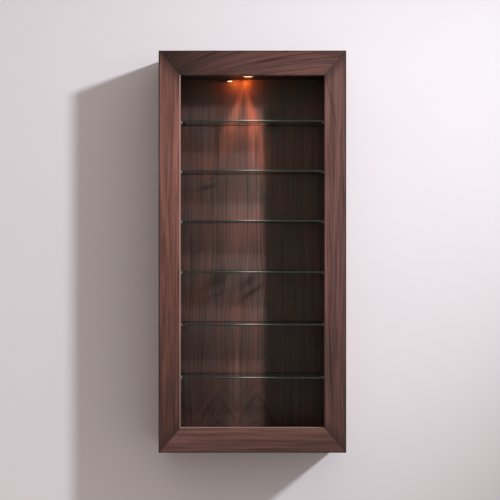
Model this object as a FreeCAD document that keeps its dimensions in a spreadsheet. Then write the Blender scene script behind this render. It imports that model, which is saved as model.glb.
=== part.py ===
"""Wall-hung display cabinet in walnut, with an open mitred front frame and six glass shelves.

Millimetres. +X is the viewer's right, +Y points into the wall and +Z is up. The wall is the plane
Y = 0, and the origin is the middle of the two wall screws. Every piece is drawn with its heights
measured from the underside of the cabinet and then lowered by the height of those screws.
"""

import FreeCAD, Part
import math
import os
import Sketcher

# Driving dimensions. The sheet holds them under these aliases, as plain numbers.
DIMENSIONS = [
    # The outer box and the mitred frame on its front.
    ("overall_width", "420"),
    ("overall_height", "900"),
    ("overall_depth", "140"),
    ("stile_width", "49"),
    ("rail_width", "56"),
    ("frame_thickness", "18"),
    ("sight_bevel", "1.8"),
    ("outer_arris", "2.4"),
    ("board_thickness", "18"),
    # Inner walls, ceiling board and back panel.
    ("liner_thickness", "16"),
    ("liner_setback", "4"),
    ("lamp_space_height", "18"),
    ("light_panel_thickness", "16"),
    ("back_panel_thickness", "8"),
    ("service_depth", "30"),
    ("groove_depth", "6"),
    ("batten_width", "28"),
    # Loose tongues and dowels, and the fits around them.
    ("fit_clearance", "0.1"),
    ("groove_clearance", "0.2"),
    ("overrun", "5"),
    ("mitre_spline_length", "24"),
    ("mitre_spline_width", "36"),
    ("corner_spline_length", "14"),
    ("corner_spline_inset", "12"),
    ("spline_thickness", "4"),
    ("frame_dowel_diameter", "8"),
    ("frame_dowel_length", "30"),
    ("frame_dowel_in_frame", "12"),
    ("panel_dowel_diameter", "6"),
    ("panel_dowel_length", "24"),
    ("panel_dowel_in_panel", "10"),
    ("cleat_dowel_diameter", "8"),
    ("cleat_dowel_length", "28"),
    ("cleat_dowel_in_side", "12"),
    # Hanging rails and the two wall screws.
    ("cleat_thickness", "18"),
    ("cleat_wall_gap", "1"),
    ("cleat_height", "70"),
    ("wall_cleat_height", "70"),
    ("wall_cleat_end_gap", "22"),
    ("screw_height", "26"),
    ("screw_end_inset", "20"),
    ("screw_hole_diameter", "5.5"),
    ("countersink_diameter", "11"),
    ("cord_notch_diameter", "10"),
    ("cord_notch_depth", "8"),
    # Glass shelves.
    ("glass_thickness", "4"),
    ("glass_arris", "0.4"),
    ("shelf_side_clearance", "3"),
    ("shelf_front_setback", "6"),
    ("shelf_back_clearance", "1.5"),
    # Shelf supports.
    ("pin_diameter", "5"),
    ("pin_length", "9"),
    ("stop_width", "5"),
    ("stop_clearance", "0.5"),
    ("tongue_thickness", "1.5"),
    ("tongue_length", "6"),
    ("tongue_width", "7"),
    ("pad_thickness", "0.6"),
    ("pad_length", "4"),
    ("front_pin_inset", "16"),
    ("rear_pin_inset", "18"),
    # The two lamps in the ceiling board.
    ("front_lamp_left", "9.7"),
    ("front_lamp_gap", "2"),
    ("front_lens_diameter", "28"),
    ("front_lens_drop", "1.2"),
    ("front_bezel_diameter", "32"),
    ("front_bezel_thickness", "0.7"),
    ("front_housing_diameter", "26"),
    ("front_housing_height", "25"),
    ("rear_lamp_left", "51.6"),
    ("rear_lamp_gap", "2.5"),
    ("rear_lens_diameter", "14"),
    ("rear_lens_drop", "5"),
    ("rear_bezel_diameter", "17"),
    ("rear_bezel_thickness", "4.4"),
    ("rear_housing_diameter", "13"),
    ("rear_housing_height", "25"),
    ("lamp_wall", "1.5"),
    ("lamp_board_thickness", "1.6"),
    ("lens_seat_depth", "4"),
    ("fin_height", "1.6"),
    ("fin_depth", "1.4"),
    ("fin_pitch", "3.2"),
    ("clip_width", "5"),
    ("clip_thickness", "0.8"),
    ("clip_reach", "6"),
    ("clip_rise", "4.5"),
    # Low-voltage supply, its leads and the lined hole for a mains cord.
    ("driver_lamp_gap", "40.7"),
    ("driver_length", "100"),
    ("driver_panel_gap", "6"),
    ("driver_width", "40"),
    ("driver_height", "14"),
    ("driver_wall", "1.5"),
    ("driver_ear_length", "9"),
    ("driver_ear_thickness", "2"),
    ("driver_screw_diameter", "3"),
    ("driver_screw_length", "10"),
    ("driver_screw_head_diameter", "5.6"),
    ("driver_screw_head_height", "1.8"),
    ("output_block_length", "9"),
    ("output_block_height", "8"),
    ("socket_margin", "4"),
    ("socket_depth", "6"),
    ("socket_spacing", "21"),
    ("lead_diameter", "3.6"),
    ("lead_end_gap", "1"),
    ("lead_clip_length", "6"),
    ("lead_clip_wall", "1.6"),
    ("lead_clip_foot", "4"),
    ("inlet_length", "12"),
    ("inlet_width", "14"),
    ("inlet_height", "9"),
    ("inlet_wall", "1.5"),
    ("inlet_recess", "9"),
    ("inlet_pin_diameter", "2.4"),
    ("inlet_pin_length", "7"),
    ("inlet_pin_pitch", "6"),
    ("grommet_side_inset", "27"),
    ("grommet_hole_diameter", "12"),
    ("grommet_bore_diameter", "8"),
    ("grommet_flange_diameter", "15"),
    ("grommet_flange_thickness", "1.5"),
]

# Undersides of the shelves, as shares of the opening's height above the bottom rail, from the top.
SHELF_LEVEL_SHARES = (0.8694, 0.7274, 0.585, 0.4391, 0.2896, 0.1385)
STILE_DOWEL_SHARES = (0.15, 0.5, 0.85)
RAIL_DOWEL_SHARES = (-0.25, 0.25)
CLEAT_DOWEL_SHARES = (0.3, 0.75)
PANEL_DOWEL_SHARES = (0.25, 0.75)
LEAD_TURN_SHARE = 0.45
LEAD_RADIUS_SHARE = 0.45
LENS_EDGE_SHARE = 0.8
LAMP_FIN_COUNT = 2

# Places worked out from the driving dimensions, as expressions on the sheet.
HALF_WIDTH = "(dims.overall_width / 2)"
HEIGHT = "dims.overall_height"
BOX_DEPTH = "(dims.overall_depth - dims.frame_thickness)"
INNER_HALF = f"({HALF_WIDTH} - dims.board_thickness)"
SIGHT_HALF = f"({HALF_WIDTH} - dims.stile_width)"
LINER_FACE = f"({SIGHT_HALF} + dims.liner_setback)"
LINER_BACK = f"({LINER_FACE} + dims.liner_thickness)"
FLOOR = "dims.board_thickness"
TOP_UNDERSIDE = f"({HEIGHT} - dims.board_thickness)"
CEILING_TOP = f"({TOP_UNDERSIDE} - dims.lamp_space_height)"
CEILING = f"({CEILING_TOP} - dims.light_panel_thickness)"
FRONT = "(-dims.overall_depth)"
FRAME_BACK = f"(-{BOX_DEPTH})"
PANEL_REAR = "(-dims.service_depth)"
PANEL_FACE = "(-dims.service_depth - dims.back_panel_thickness)"
CLEAT_FRONT = "(-dims.cleat_thickness)"
CLEAT_REAR = "(-dims.cleat_wall_gap)"
CLEAT_TIP = f"({TOP_UNDERSIDE} - dims.cleat_height)"
CLEAT_STEP = "(dims.cleat_thickness - dims.cleat_wall_gap)"
WALL_CLEAT_TOP = f"({CLEAT_TIP} + {CLEAT_STEP})"
WALL_CLEAT_FOOT = f"({WALL_CLEAT_TOP} - dims.wall_cleat_height)"
HANG_HEIGHT = f"({WALL_CLEAT_FOOT} + dims.screw_height)"
MITRE_ANGLE = "atan(dims.stile_width / dims.rail_width)"
SHELF_HALF = f"({SIGHT_HALF} - dims.shelf_side_clearance)"
STOP_END = f"({SHELF_HALF} + dims.stop_clearance)"
LEAD_HEIGHT = f"({CEILING_TOP} + dims.lead_diameter / 2 + dims.fit_clearance)"
FRONT_LAMP_X = "(-dims.front_lamp_left)"
FRONT_LAMP_Y = f"({FRAME_BACK} + dims.front_lamp_gap + dims.front_bezel_diameter / 2)"
REAR_LAMP_X = "(-dims.rear_lamp_left)"
REAR_LAMP_Y = f"({PANEL_FACE} - dims.rear_lamp_gap - dims.rear_bezel_diameter / 2)"
FRONT_SOCKET_Y = f"({REAR_LAMP_Y} - dims.socket_spacing)"
DRIVER_REAR = f"({PANEL_FACE} - dims.driver_panel_gap)"
DRIVER_FRONT = f"({DRIVER_REAR} - dims.driver_width)"
DRIVER_MIDDLE = f"({DRIVER_REAR} - dims.driver_width / 2)"
OUTPUT_FACE = f"({FRONT_LAMP_X} + dims.driver_lamp_gap)"
DRIVER_START = f"({OUTPUT_FACE} + dims.output_block_length)"
DRIVER_END = f"({DRIVER_START} + dims.driver_length)"
DRIVER_TOP = f"({CEILING_TOP} + dims.driver_height)"
GROMMET_X = f"({INNER_HALF} - dims.grommet_side_inset)"
GROMMET_HEIGHT = f"(({CEILING_TOP} + {TOP_UNDERSIDE}) / 2)"
WALL_CLEAT_HALF = f"({INNER_HALF} - dims.wall_cleat_end_gap)"
SCREW_HALF_SPACING = f"({WALL_CLEAT_HALF} - dims.screw_end_inset)"
OPENING_HEIGHT = f"({HEIGHT} - 2 * dims.rail_width)"

doc = FreeCAD.newDocument("display_cabinet")
sheet = doc.addObject("Spreadsheet::Sheet", "dims")
for row, (alias, number) in enumerate(DIMENSIONS, start=1):
    sheet.set(f"A{row}", alias)
    sheet.set(f"B{row}", number)
    sheet.setAlias(f"B{row}", alias)
doc.recompute()

NODES = {}
TURN_TO_X = FreeCAD.Rotation(FreeCAD.Vector(0, 1, 0), 90)
TURN_TO_Y = FreeCAD.Rotation(FreeCAD.Vector(1, 0, 0), -90)
AXIS_TURNS = {"x": TURN_TO_X, "y": TURN_TO_Y, "z": FreeCAD.Rotation()}


def value(expression):
    """The number that an expression on the sheet gives now."""
    return float(sheet.evalExpression(str(expression)))


def place(obj, at, turn=None):
    """Binds an object's place to three expressions, with a fixed turn."""
    if turn is not None:
        obj.Placement = FreeCAD.Placement(FreeCAD.Vector(), turn)
    for axis, expression in zip("xyz", at):
        obj.setExpression(f"Placement.Base.{axis}", expression)


def node(label, obj, at=("0", "0", "0")):
    """Registers a finished sub-part under its label and lowers it to the screws' height."""
    obj.Label = label
    x, y, z = at
    place(obj, (x, y, f"{z} - {HANG_HEIGHT}"))
    NODES[label] = obj
    return obj


def box(name, size, at):
    """A plain block with expressions for its size and its lowest corner."""
    block = doc.addObject("Part::Box", name)
    for side, expression in zip(("Length", "Width", "Height"), size):
        block.setExpression(side, expression)
    place(block, at)
    return block


def cylinder(name, radius, length, at, axis="z"):
    """A round bar that starts at a point and runs along one axis."""
    bar = doc.addObject("Part::Cylinder", name)
    bar.setExpression("Radius", radius)
    bar.setExpression("Height", length)
    place(bar, at, AXIS_TURNS[axis])
    return bar


def group(name, items):
    """Separate solids kept together as one object."""
    compound = doc.addObject("Part::Compound", name)
    compound.Links = items
    return compound


def cut(name, base, tools):
    """A piece with every tool taken out of it."""
    result = doc.addObject("Part::Cut", name)
    result.Base = base
    result.Tool = tools[0] if len(tools) == 1 else group(name + "_cuts", tools)
    return result


def fuse(name, pieces):
    """Several blanks joined into one solid."""
    result = doc.addObject("Part::MultiFuse", name)
    result.Shapes = pieces
    result.Refine = True
    return result


def sketch(body, name, role, points, start="0"):
    """A closed outline on one of a body's own planes, each corner bound to the sheet."""
    outline = body.newObject("Sketcher::SketchObject", name)
    plane = next(f for f in body.Origin.OriginFeatures if f.Role == role)
    outline.AttachmentSupport = [(plane, "")]
    outline.MapMode = "FlatFace"
    outline.setExpression("AttachmentOffset.Base.z", start)
    corners = [FreeCAD.Vector(value(x), value(y), 0) for x, y in points]
    count = len(corners)
    for i, corner in enumerate(corners):
        outline.addGeometry(Part.LineSegment(corner, corners[(i + 1) % count]), False)
    for i in range(count):
        outline.addConstraint(Sketcher.Constraint("Coincident", i, 2, (i + 1) % count, 1))
    for i, (x, y) in enumerate(points):
        for kind, expression, number in (("DistanceX", x, corners[i].x), ("DistanceY", y, corners[i].y)):
            index = outline.addConstraint(Sketcher.Constraint(kind, -1, 1, i, 1, number))
            outline.setExpression(f"Constraints[{index}]", expression)
    return outline


def prism(name, role, points, length, start="0", symmetric=False):
    """A body padded from an outline along its plane's normal."""
    body = doc.addObject("PartDesign::Body", name)
    pad = body.newObject("PartDesign::Pad", name + "_pad")
    pad.Profile = sketch(body, name + "_outline", role, points, start)
    pad.setExpression("Length", length)
    pad.Midplane = symmetric
    return body


def pocket(body, name, role, points, length, start="0", forward=False):
    """Takes an outline's prism out of a body, against its plane's normal unless told otherwise."""
    doc.recompute()
    before = body.Shape.Volume
    hole = body.newObject("PartDesign::Pocket", name)
    hole.Profile = sketch(body, name + "_outline", role, points, start)
    hole.setExpression("Length", length)
    hole.Reversed = forward
    doc.recompute()
    if not body.Shape.Volume < before:
        raise RuntimeError(f"{name} cuts nothing")


def turned(name, profile):
    """A body turned about the vertical axis from an outline of radii and heights."""
    body = doc.addObject("PartDesign::Body", name)
    outline = sketch(body, name + "_outline", "XZ_Plane", profile)
    spin = body.newObject("PartDesign::Revolution", name + "_turn")
    spin.Profile = outline
    spin.ReferenceAxis = (outline, ["V_Axis"])
    spin.Angle = 360
    return body


def rectangle(x0, x1, y0, y1):
    """The four corners between two pairs of expressions."""
    return [(x0, y0), (x1, y0), (x1, y1), (x0, y1)]


def centred_block(name, across, along, thickness, at, angle):
    """A flat tongue about its own middle, turned about Y so that it lies across a mitre."""
    half_across = f"({across}) / 2"
    half_along = f"({along}) / 2"
    outline = rectangle(f"-{half_across}", half_across, f"-{half_along}", half_along)
    body = prism(name, "XZ_Plane", outline, thickness, symmetric=True)
    body.Placement = FreeCAD.Placement(FreeCAD.Vector(), FreeCAD.Rotation(FreeCAD.Vector(0, 1, 0), 1))
    body.setExpression("Placement.Rotation.Angle", angle)
    place(body, at)
    return body


# Tongues and dowels

CORNERS = {"top_right": (1, 1), "top_left": (-1, 1), "bottom_right": (1, -1), "bottom_left": (-1, -1)}


def corner_height(side, inset):
    """The height a distance inside the top (side 1) or the underside (side -1)."""
    return f"({HEIGHT} - {inset})" if side > 0 else f"({inset})"


def mitre_tongues(suffix, clearance):
    """One tongue for each frame mitre, or with a clearance the slot that takes it."""
    tongues = {}
    for corner, (right, top) in CORNERS.items():
        x = f"{right} * ({HALF_WIDTH} - dims.stile_width / 2)"
        y = f"({FRONT} + dims.frame_thickness / 2)"
        z = corner_height(top, "dims.rail_width / 2")
        tongues[corner] = centred_block(
            f"mitre_{suffix}_{corner}",
            f"dims.mitre_spline_length + 2 * {clearance}",
            f"dims.mitre_spline_width + 2 * {clearance}",
            f"dims.spline_thickness + 2 * {clearance}",
            (x, y, z),
            f"{right * top} * {MITRE_ANGLE}",
        )
    return tongues


def corner_tongues(suffix, clearance):
    """One tongue for each corner of the box, or with a clearance the slot that takes it."""
    tongues = {}
    for corner, (right, top) in CORNERS.items():
        x = f"{right} * ({HALF_WIDTH} - dims.board_thickness / 2)"
        y = f"({PANEL_FACE} + {FRAME_BACK}) / 2"
        z = corner_height(top, "dims.board_thickness / 2")
        tongues[corner] = centred_block(
            f"corner_{suffix}_{corner}",
            f"dims.corner_spline_length + 2 * {clearance}",
            f"dims.spline_thickness + 2 * {clearance}",
            f"{PANEL_FACE} - {FRAME_BACK} - 2 * dims.corner_spline_inset + 2 * {clearance}",
            (x, y, z),
            f"{right * top} * 45",
        )
    return tongues


def frame_dowels(suffix, clearance):
    """Dowels between each frame member and the board behind it, keyed by that side."""
    dowels = {"left": [], "right": [], "top": [], "bottom": []}
    edge = "dims.board_thickness / 2"
    places = []
    for share in STILE_DOWEL_SHARES:
        places.append(("left", f"-({HALF_WIDTH} - {edge})", f"{HEIGHT} * {share}"))
        places.append(("right", f"({HALF_WIDTH} - {edge})", f"{HEIGHT} * {share}"))
    for share in RAIL_DOWEL_SHARES:
        places.append(("top", f"dims.overall_width * {share}", corner_height(1, edge)))
        places.append(("bottom", f"dims.overall_width * {share}", corner_height(-1, edge)))
    for number, (side, x, z) in enumerate(places):
        y = f"{FRAME_BACK} - dims.frame_dowel_in_frame - {clearance}"
        radius = f"dims.frame_dowel_diameter / 2 + {clearance}"
        length = f"dims.frame_dowel_length + 2 * {clearance}"
        dowels[side].append(cylinder(f"frame_{suffix}_{number}", radius, length, (x, y, z), "y"))
    return dowels


def cleat_dowels(suffix, clearance):
    """Dowels between the cabinet's hanging rail and the two sides."""
    dowels = {"left": [], "right": []}
    y = f"({CLEAT_FRONT} + {CLEAT_REAR}) / 2"
    length = f"dims.cleat_dowel_length + 2 * {clearance}"
    radius = f"dims.cleat_dowel_diameter / 2 + {clearance}"
    reach = f"({INNER_HALF} + dims.cleat_dowel_in_side + {clearance})"
    straight = f"({TOP_UNDERSIDE} - {WALL_CLEAT_TOP})"
    for share in CLEAT_DOWEL_SHARES:
        z = f"{WALL_CLEAT_TOP} + {straight} * {share}"
        for side, x in (("left", f"-{reach}"), ("right", f"{reach} - ({length})")):
            name = f"cleat_{suffix}_{side}_{len(dowels[side])}"
            dowels[side].append(cylinder(name, radius, length, (x, y, z), "x"))
    return dowels


def panel_dowels(suffix, clearance):
    """Upright dowels that locate the ceiling board on the two liners."""
    dowels = {"left": [], "right": []}
    middle = f"({LINER_FACE} + dims.liner_thickness / 2)"
    length = f"dims.panel_dowel_length + 2 * {clearance}"
    radius = f"dims.panel_dowel_diameter / 2 + {clearance}"
    z = f"{CEILING} + dims.panel_dowel_in_panel + {clearance} - ({length})"
    for share in PANEL_DOWEL_SHARES:
        y = f"{FRAME_BACK} + ({PANEL_FACE} - {FRAME_BACK}) * {share}"
        for side, sign in (("left", "-"), ("right", "")):
            name = f"panel_{suffix}_{side}_{len(dowels[side])}"
            dowels[side].append(cylinder(name, radius, length, (sign + middle, y, z)))
    return dowels


NO_CLEARANCE = "0"
FIT = "dims.fit_clearance"
mitre_splines = mitre_tongues("spline", NO_CLEARANCE)
mitre_slots = mitre_tongues("slot", FIT)
corner_splines = corner_tongues("spline", NO_CLEARANCE)
corner_slots = corner_tongues("slot", FIT)
frame_pegs = frame_dowels("dowel", NO_CLEARANCE)
frame_holes = frame_dowels("hole", FIT)
cleat_pegs = cleat_dowels("dowel", NO_CLEARANCE)
cleat_holes = cleat_dowels("hole", FIT)
panel_pegs = panel_dowels("dowel", NO_CLEARANCE)
panel_holes = panel_dowels("hole", FIT)


def all_of(sides):
    """The pieces of every side in one list."""
    return [piece for pieces in sides.values() for piece in pieces]


node("mitre_splines", group("mitre_spline_set", list(mitre_splines.values())))
node("corner_splines", group("corner_spline_set", list(corner_splines.values())))
node("frame_dowels", group("frame_dowel_set", all_of(frame_pegs)))
node("cleat_dowels", group("cleat_dowel_set", all_of(cleat_pegs)))
node("panel_dowels", group("panel_dowel_set", all_of(panel_pegs)))


# Front frame: a moulded strip for each member, cut to its mitres.

def moulding(width, bevel, arris):
    """Distances from the outer edge and from the front face, once round a member's section."""
    return [
        ("0", "dims.frame_thickness"),
        ("0", "dims.outer_arris"),
        (arris, "0"),
        (f"({width} - {bevel})", "0"),
        (width, "dims.sight_bevel"),
        (width, "dims.frame_thickness"),
    ]


def mitre_waste(right, top):
    """The two corners of waste beyond a member's mitres, as outlines in X and Z.

    A rail loses what lies outside its slanted ends on the stiles' side, and a stile the rest.
    """
    outer_x = f"{right} * {HALF_WIDTH}"
    inner_x = f"{right} * {SIGHT_HALF}"
    outer_z = corner_height(top, "0")
    inner_z = corner_height(top, "dims.rail_width")
    past_x = f"{right} * ({HALF_WIDTH} + dims.overrun)"
    past_z = f"({outer_z} + {top} * dims.overrun)"
    rail_loses = [(outer_x, outer_z), (inner_x, inner_z), (past_x, inner_z), (past_x, outer_z)]
    stile_loses = [(outer_x, outer_z), (inner_x, inner_z), (inner_x, past_z), (outer_x, past_z)]
    return rail_loses, stile_loses


def frame_rail(label, top):
    """A horizontal frame member."""
    slope = "dims.rail_width / dims.stile_width"
    outline = moulding("dims.rail_width", f"(dims.sight_bevel * {slope})", f"(dims.outer_arris * {slope})")
    section = [(f"{FRONT} + {y}", corner_height(top, z)) for z, y in outline]
    body = prism(label + "_strip", "YZ_Plane", section, "dims.overall_width", symmetric=True)
    slots = []
    side = "top" if top > 0 else "bottom"
    for right, hand in ((1, "right"), (-1, "left")):
        waste = mitre_waste(right, top)[0]
        start = "dims.overall_depth + dims.overrun"
        pocket(body, f"{label}_{hand}_mitre", "XZ_Plane", waste, "dims.overall_depth", start)
        slots.append(mitre_slots[f"{side}_{hand}"])
    node(label, cut(label + "_cut", body, slots + frame_holes[side]))


def frame_stile(label, right):
    """An upright frame member."""
    section = [
        (f"{right} * ({HALF_WIDTH} - {x})", f"{FRONT} + {y}")
        for x, y in moulding("dims.stile_width", "dims.sight_bevel", "dims.outer_arris")
    ]
    body = prism(label + "_strip", "XY_Plane", section, HEIGHT)
    slots = []
    hand = "right" if right > 0 else "left"
    for top, side in ((1, "top"), (-1, "bottom")):
        waste = mitre_waste(right, top)[1]
        start = "dims.overall_depth + dims.overrun"
        pocket(body, f"{label}_{side}_mitre", "XZ_Plane", waste, "dims.overall_depth", start)
        slots.append(mitre_slots[f"{side}_{hand}"])
    node(label, cut(label + "_cut", body, slots + frame_holes[hand]))


frame_rail("frame_top_rail", 1)
frame_rail("frame_bottom_rail", -1)
frame_stile("frame_left_stile", -1)
frame_stile("frame_right_stile", 1)


# Outer box: four boards mitred along their ends, grooved for the back panel.

GROOVE_FRONT = f"({PANEL_FACE} - dims.groove_clearance)"
GROOVE_REAR = f"({PANEL_REAR} + dims.groove_clearance)"


def level_board(label, top, extra_tools):
    """The top or the bottom of the box."""
    outer = corner_height(top, "0")
    inner = corner_height(top, "dims.board_thickness")
    outline = [(f"-{HALF_WIDTH}", outer), (HALF_WIDTH, outer), (INNER_HALF, inner), (f"-{INNER_HALF}", inner)]
    body = prism(label + "_blank", "XZ_Plane", outline, BOX_DEPTH)
    groove_end = corner_height(top, "(dims.board_thickness - dims.groove_depth)")
    clear = corner_height(top, "(dims.board_thickness + dims.overrun)")
    groove = rectangle(GROOVE_FRONT, GROOVE_REAR, groove_end, clear)
    pocket(body, label + "_groove", "YZ_Plane", groove, "dims.overall_width", HALF_WIDTH)
    side = "top" if top > 0 else "bottom"
    tools = [corner_slots[side + "_left"], corner_slots[side + "_right"]] + frame_holes[side]
    node(label, cut(label + "_cut", body, tools + extra_tools))


def side_board(label, right):
    """One side of the box."""
    outer = f"{right} * {HALF_WIDTH}"
    inner = f"{right} * {INNER_HALF}"
    outline = [(outer, "0"), (outer, HEIGHT), (inner, TOP_UNDERSIDE), (inner, FLOOR)]
    body = prism(label + "_blank", "XZ_Plane", outline, BOX_DEPTH)
    groove_end = f"{right} * ({INNER_HALF} + dims.groove_depth)"
    clear = f"{right} * ({INNER_HALF} - dims.overrun)"
    groove = rectangle(groove_end, clear, GROOVE_FRONT, GROOVE_REAR)
    pocket(body, label + "_groove", "XY_Plane", groove, HEIGHT, HEIGHT)
    hand = "right" if right > 0 else "left"
    tools = [corner_slots["top_" + hand], corner_slots["bottom_" + hand]]
    node(label, cut(label + "_cut", body, tools + frame_holes[hand] + cleat_holes[hand]))


def cord_notch():
    """A round-ended slot in the rear edge of the bottom, where a mains cord would pass."""
    radius = "dims.cord_notch_diameter / 2"
    height = "dims.board_thickness + 2 * dims.overrun"
    middle = f"(-dims.cord_notch_depth + {radius})"
    end = cylinder("cord_notch_end", radius, height, (GROMMET_X, middle, "-dims.overrun"))
    mouth = box(
        "cord_notch_mouth",
        ("dims.cord_notch_diameter", f"dims.overrun - {middle}", height),
        (f"{GROMMET_X} - {radius}", middle, "-dims.overrun"),
    )
    return fuse("cord_notch", [end, mouth])


level_board("top_board", 1, [])
level_board("bottom_board", -1, [cord_notch()])
side_board("left_side_board", -1)
side_board("right_side_board", 1)


# Back panel, with the lined hole for a mains cord.

def back_panel():
    """The veneered panel that slides in the grooves of the box."""
    reach = "(dims.groove_depth - dims.groove_clearance)"
    outline = rectangle(
        f"-({INNER_HALF} + {reach})",
        f"({INNER_HALF} + {reach})",
        f"({FLOOR} - {reach})",
        f"({TOP_UNDERSIDE} + {reach})",
    )
    body = prism("back_panel_sheet", "XZ_Plane", outline, "dims.back_panel_thickness", "dims.service_depth")
    hole = cylinder(
        "grommet_hole",
        "dims.grommet_hole_diameter / 2",
        "dims.back_panel_thickness + 2 * dims.overrun",
        (GROMMET_X, f"{PANEL_FACE} - dims.overrun", GROMMET_HEIGHT),
        "y",
    )
    node("back_panel", cut("back_panel_cut", body, [hole]))


def cord_grommet():
    """A rubber ring with a flange on each face of the back panel."""
    bore = "dims.grommet_bore_diameter / 2"
    neck = "(dims.grommet_hole_diameter / 2 - dims.fit_clearance)"
    flange = "dims.grommet_flange_diameter / 2"
    near = "dims.fit_clearance"
    far = "(dims.back_panel_thickness + dims.fit_clearance)"
    lip = "dims.grommet_flange_thickness"
    profile = [
        (bore, f"-{near} - {lip}"),
        (flange, f"-{near} - {lip}"),
        (flange, f"-{near}"),
        (neck, f"-{near}"),
        (neck, far),
        (flange, far),
        (flange, f"{far} + {lip}"),
        (bore, f"{far} + {lip}"),
    ]
    body = turned("cord_grommet_ring", profile)
    body.Placement = FreeCAD.Placement(FreeCAD.Vector(), TURN_TO_Y)
    node("cord_grommet", body, (GROMMET_X, PANEL_FACE, GROMMET_HEIGHT))


back_panel()
cord_grommet()


# Glass shelves, and the supports that carry them.

SHELF_FRONT = f"({FRONT} + dims.shelf_front_setback)"
SHELF_BACK = f"({PANEL_FACE} - dims.shelf_back_clearance)"


def shelf_level(number):
    """The height of a shelf's underside, where it rests on its pads."""
    return f"(dims.rail_width + {OPENING_HEIGHT} * {SHELF_LEVEL_SHARES[number - 1]})"


def glass_shelf(number):
    """One pane with its edges eased, standing at its own level."""
    label = f"glass_shelf_{number}"
    outline = rectangle(f"-{SHELF_HALF}", SHELF_HALF, SHELF_FRONT, SHELF_BACK)
    body = prism(label + "_pane", "XY_Plane", outline, "dims.glass_thickness")
    doc.recompute()
    pane = body.Tip
    ease = body.newObject("PartDesign::Chamfer", label + "_arris")
    ease.Base = (pane, [f"Edge{i}" for i in range(1, len(pane.Shape.Edges) + 1)])
    ease.setExpression("Size", "dims.glass_arris")
    node(label, body, ("0", "0", shelf_level(number)))


def support_places():
    """The shelf number, hand and depth of every support."""
    depths = (f"({FRAME_BACK} + dims.front_pin_inset)", f"({PANEL_FACE} - dims.rear_pin_inset)")
    for number in range(1, len(SHELF_LEVEL_SHARES) + 1):
        for hand in (-1, 1):
            for depth in depths:
                yield number, hand, depth


def spanning_box(name, hand, x_near, x_far, y, width, z, height):
    """A block between two distances from the middle, on the left (hand -1) or the right."""
    low = f"-({x_far})" if hand < 0 else x_near
    return box(name, (f"{x_far} - {x_near}", width, height), (low, f"{y} - ({width}) / 2", z))


def pin_height(number):
    """The height of a support's pin, at the middle of the stop beside the glass."""
    return f"({shelf_level(number)} - dims.pad_thickness - dims.tongue_thickness + dims.pin_diameter / 2)"


def pin_bar(name, number, hand, y, clearance):
    """The round pin in a liner, or with a clearance the hole that takes it."""
    length = f"dims.pin_length + 2 * {clearance}"
    start = f"({LINER_FACE} - {clearance})"
    x = start if hand > 0 else f"-({start} + {length})"
    return cylinder(name, f"dims.pin_diameter / 2 + {clearance}", length, (x, y, pin_height(number)), "x")


def shelf_support(index, number, hand, y):
    """A pin with a stop beside the glass and a thin tongue under it."""
    base = f"({shelf_level(number)} - dims.pad_thickness - dims.tongue_thickness)"
    stop_height = "(dims.tongue_thickness + dims.pad_thickness + dims.glass_thickness)"
    tongue_end = f"({STOP_END} - dims.tongue_length)"
    stop = spanning_box(
        f"support_stop_{index}", hand, STOP_END, LINER_FACE, y, "dims.stop_width", base, stop_height
    )
    tongue = spanning_box(
        f"support_tongue_{index}", hand, tongue_end, LINER_FACE, y, "dims.tongue_width", base,
        "dims.tongue_thickness",
    )
    pin = pin_bar(f"support_pin_{index}", number, hand, y, NO_CLEARANCE)
    return fuse(f"support_{index}", [stop, tongue, pin])


def shelf_pad(index, number, hand, y):
    """A clear soft pad on a support's tongue, under the glass."""
    z = f"{shelf_level(number)} - dims.pad_thickness"
    inner = f"({STOP_END} - dims.tongue_length)"
    outer = f"({inner} + dims.pad_length)"
    name = f"support_pad_{index}"
    return spanning_box(name, hand, inner, outer, y, "dims.tongue_width", z, "dims.pad_thickness")


for shelf_number in range(1, len(SHELF_LEVEL_SHARES) + 1):
    glass_shelf(shelf_number)

supports = []
pads = []
pin_holes = {-1: [], 1: []}
for support_index, (shelf_number, side_hand, support_y) in enumerate(support_places()):
    supports.append(shelf_support(support_index, shelf_number, side_hand, support_y))
    pads.append(shelf_pad(support_index, shelf_number, side_hand, support_y))
    hole_name = f"support_hole_{support_index}"
    pin_holes[side_hand].append(pin_bar(hole_name, shelf_number, side_hand, support_y, FIT))
node("shelf_pins", group("shelf_pin_set", supports))
node("shelf_pads", group("shelf_pad_set", pads))


# Inner walls with their packers, and the ceiling board.

def liner(label, right):
    """One inner wall, drilled for the supports and for the ceiling board's dowels."""
    hand = "right" if right > 0 else "left"
    outline = rectangle(f"{right} * {LINER_FACE}", f"{right} * {LINER_BACK}", FRAME_BACK, PANEL_FACE)
    body = prism(label + "_board", "XY_Plane", outline, f"{CEILING} - {FLOOR}", FLOOR)
    node(label, cut(label + "_cut", body, pin_holes[right] + panel_holes[hand]))


def liner_battens(label, right):
    """Two upright packers that hold a liner off the side of the box."""
    near = f"{right} * {LINER_BACK}"
    far = f"{right} * {INNER_HALF}"
    length = f"{CEILING} - {FLOOR}"
    front = rectangle(near, far, FRAME_BACK, f"{FRAME_BACK} + dims.batten_width")
    rear = rectangle(near, far, f"{PANEL_FACE} - dims.batten_width", PANEL_FACE)
    strips = [
        prism(label + "_front", "XY_Plane", front, length, FLOOR),
        prism(label + "_rear", "XY_Plane", rear, length, FLOOR),
    ]
    node(label, group(label + "_set", strips))


liner("left_liner", -1)
liner("right_liner", 1)
liner_battens("left_liner_battens", -1)
liner_battens("right_liner_battens", 1)

LAMPS = {
    "front_lamp": (FRONT_LAMP_X, FRONT_LAMP_Y),
    "rear_lamp": (REAR_LAMP_X, REAR_LAMP_Y),
}


def lamp_size(lamp, part):
    """The alias of one of a lamp's own sizes."""
    return f"dims.{lamp.split('_')[0]}_{part}"


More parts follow.
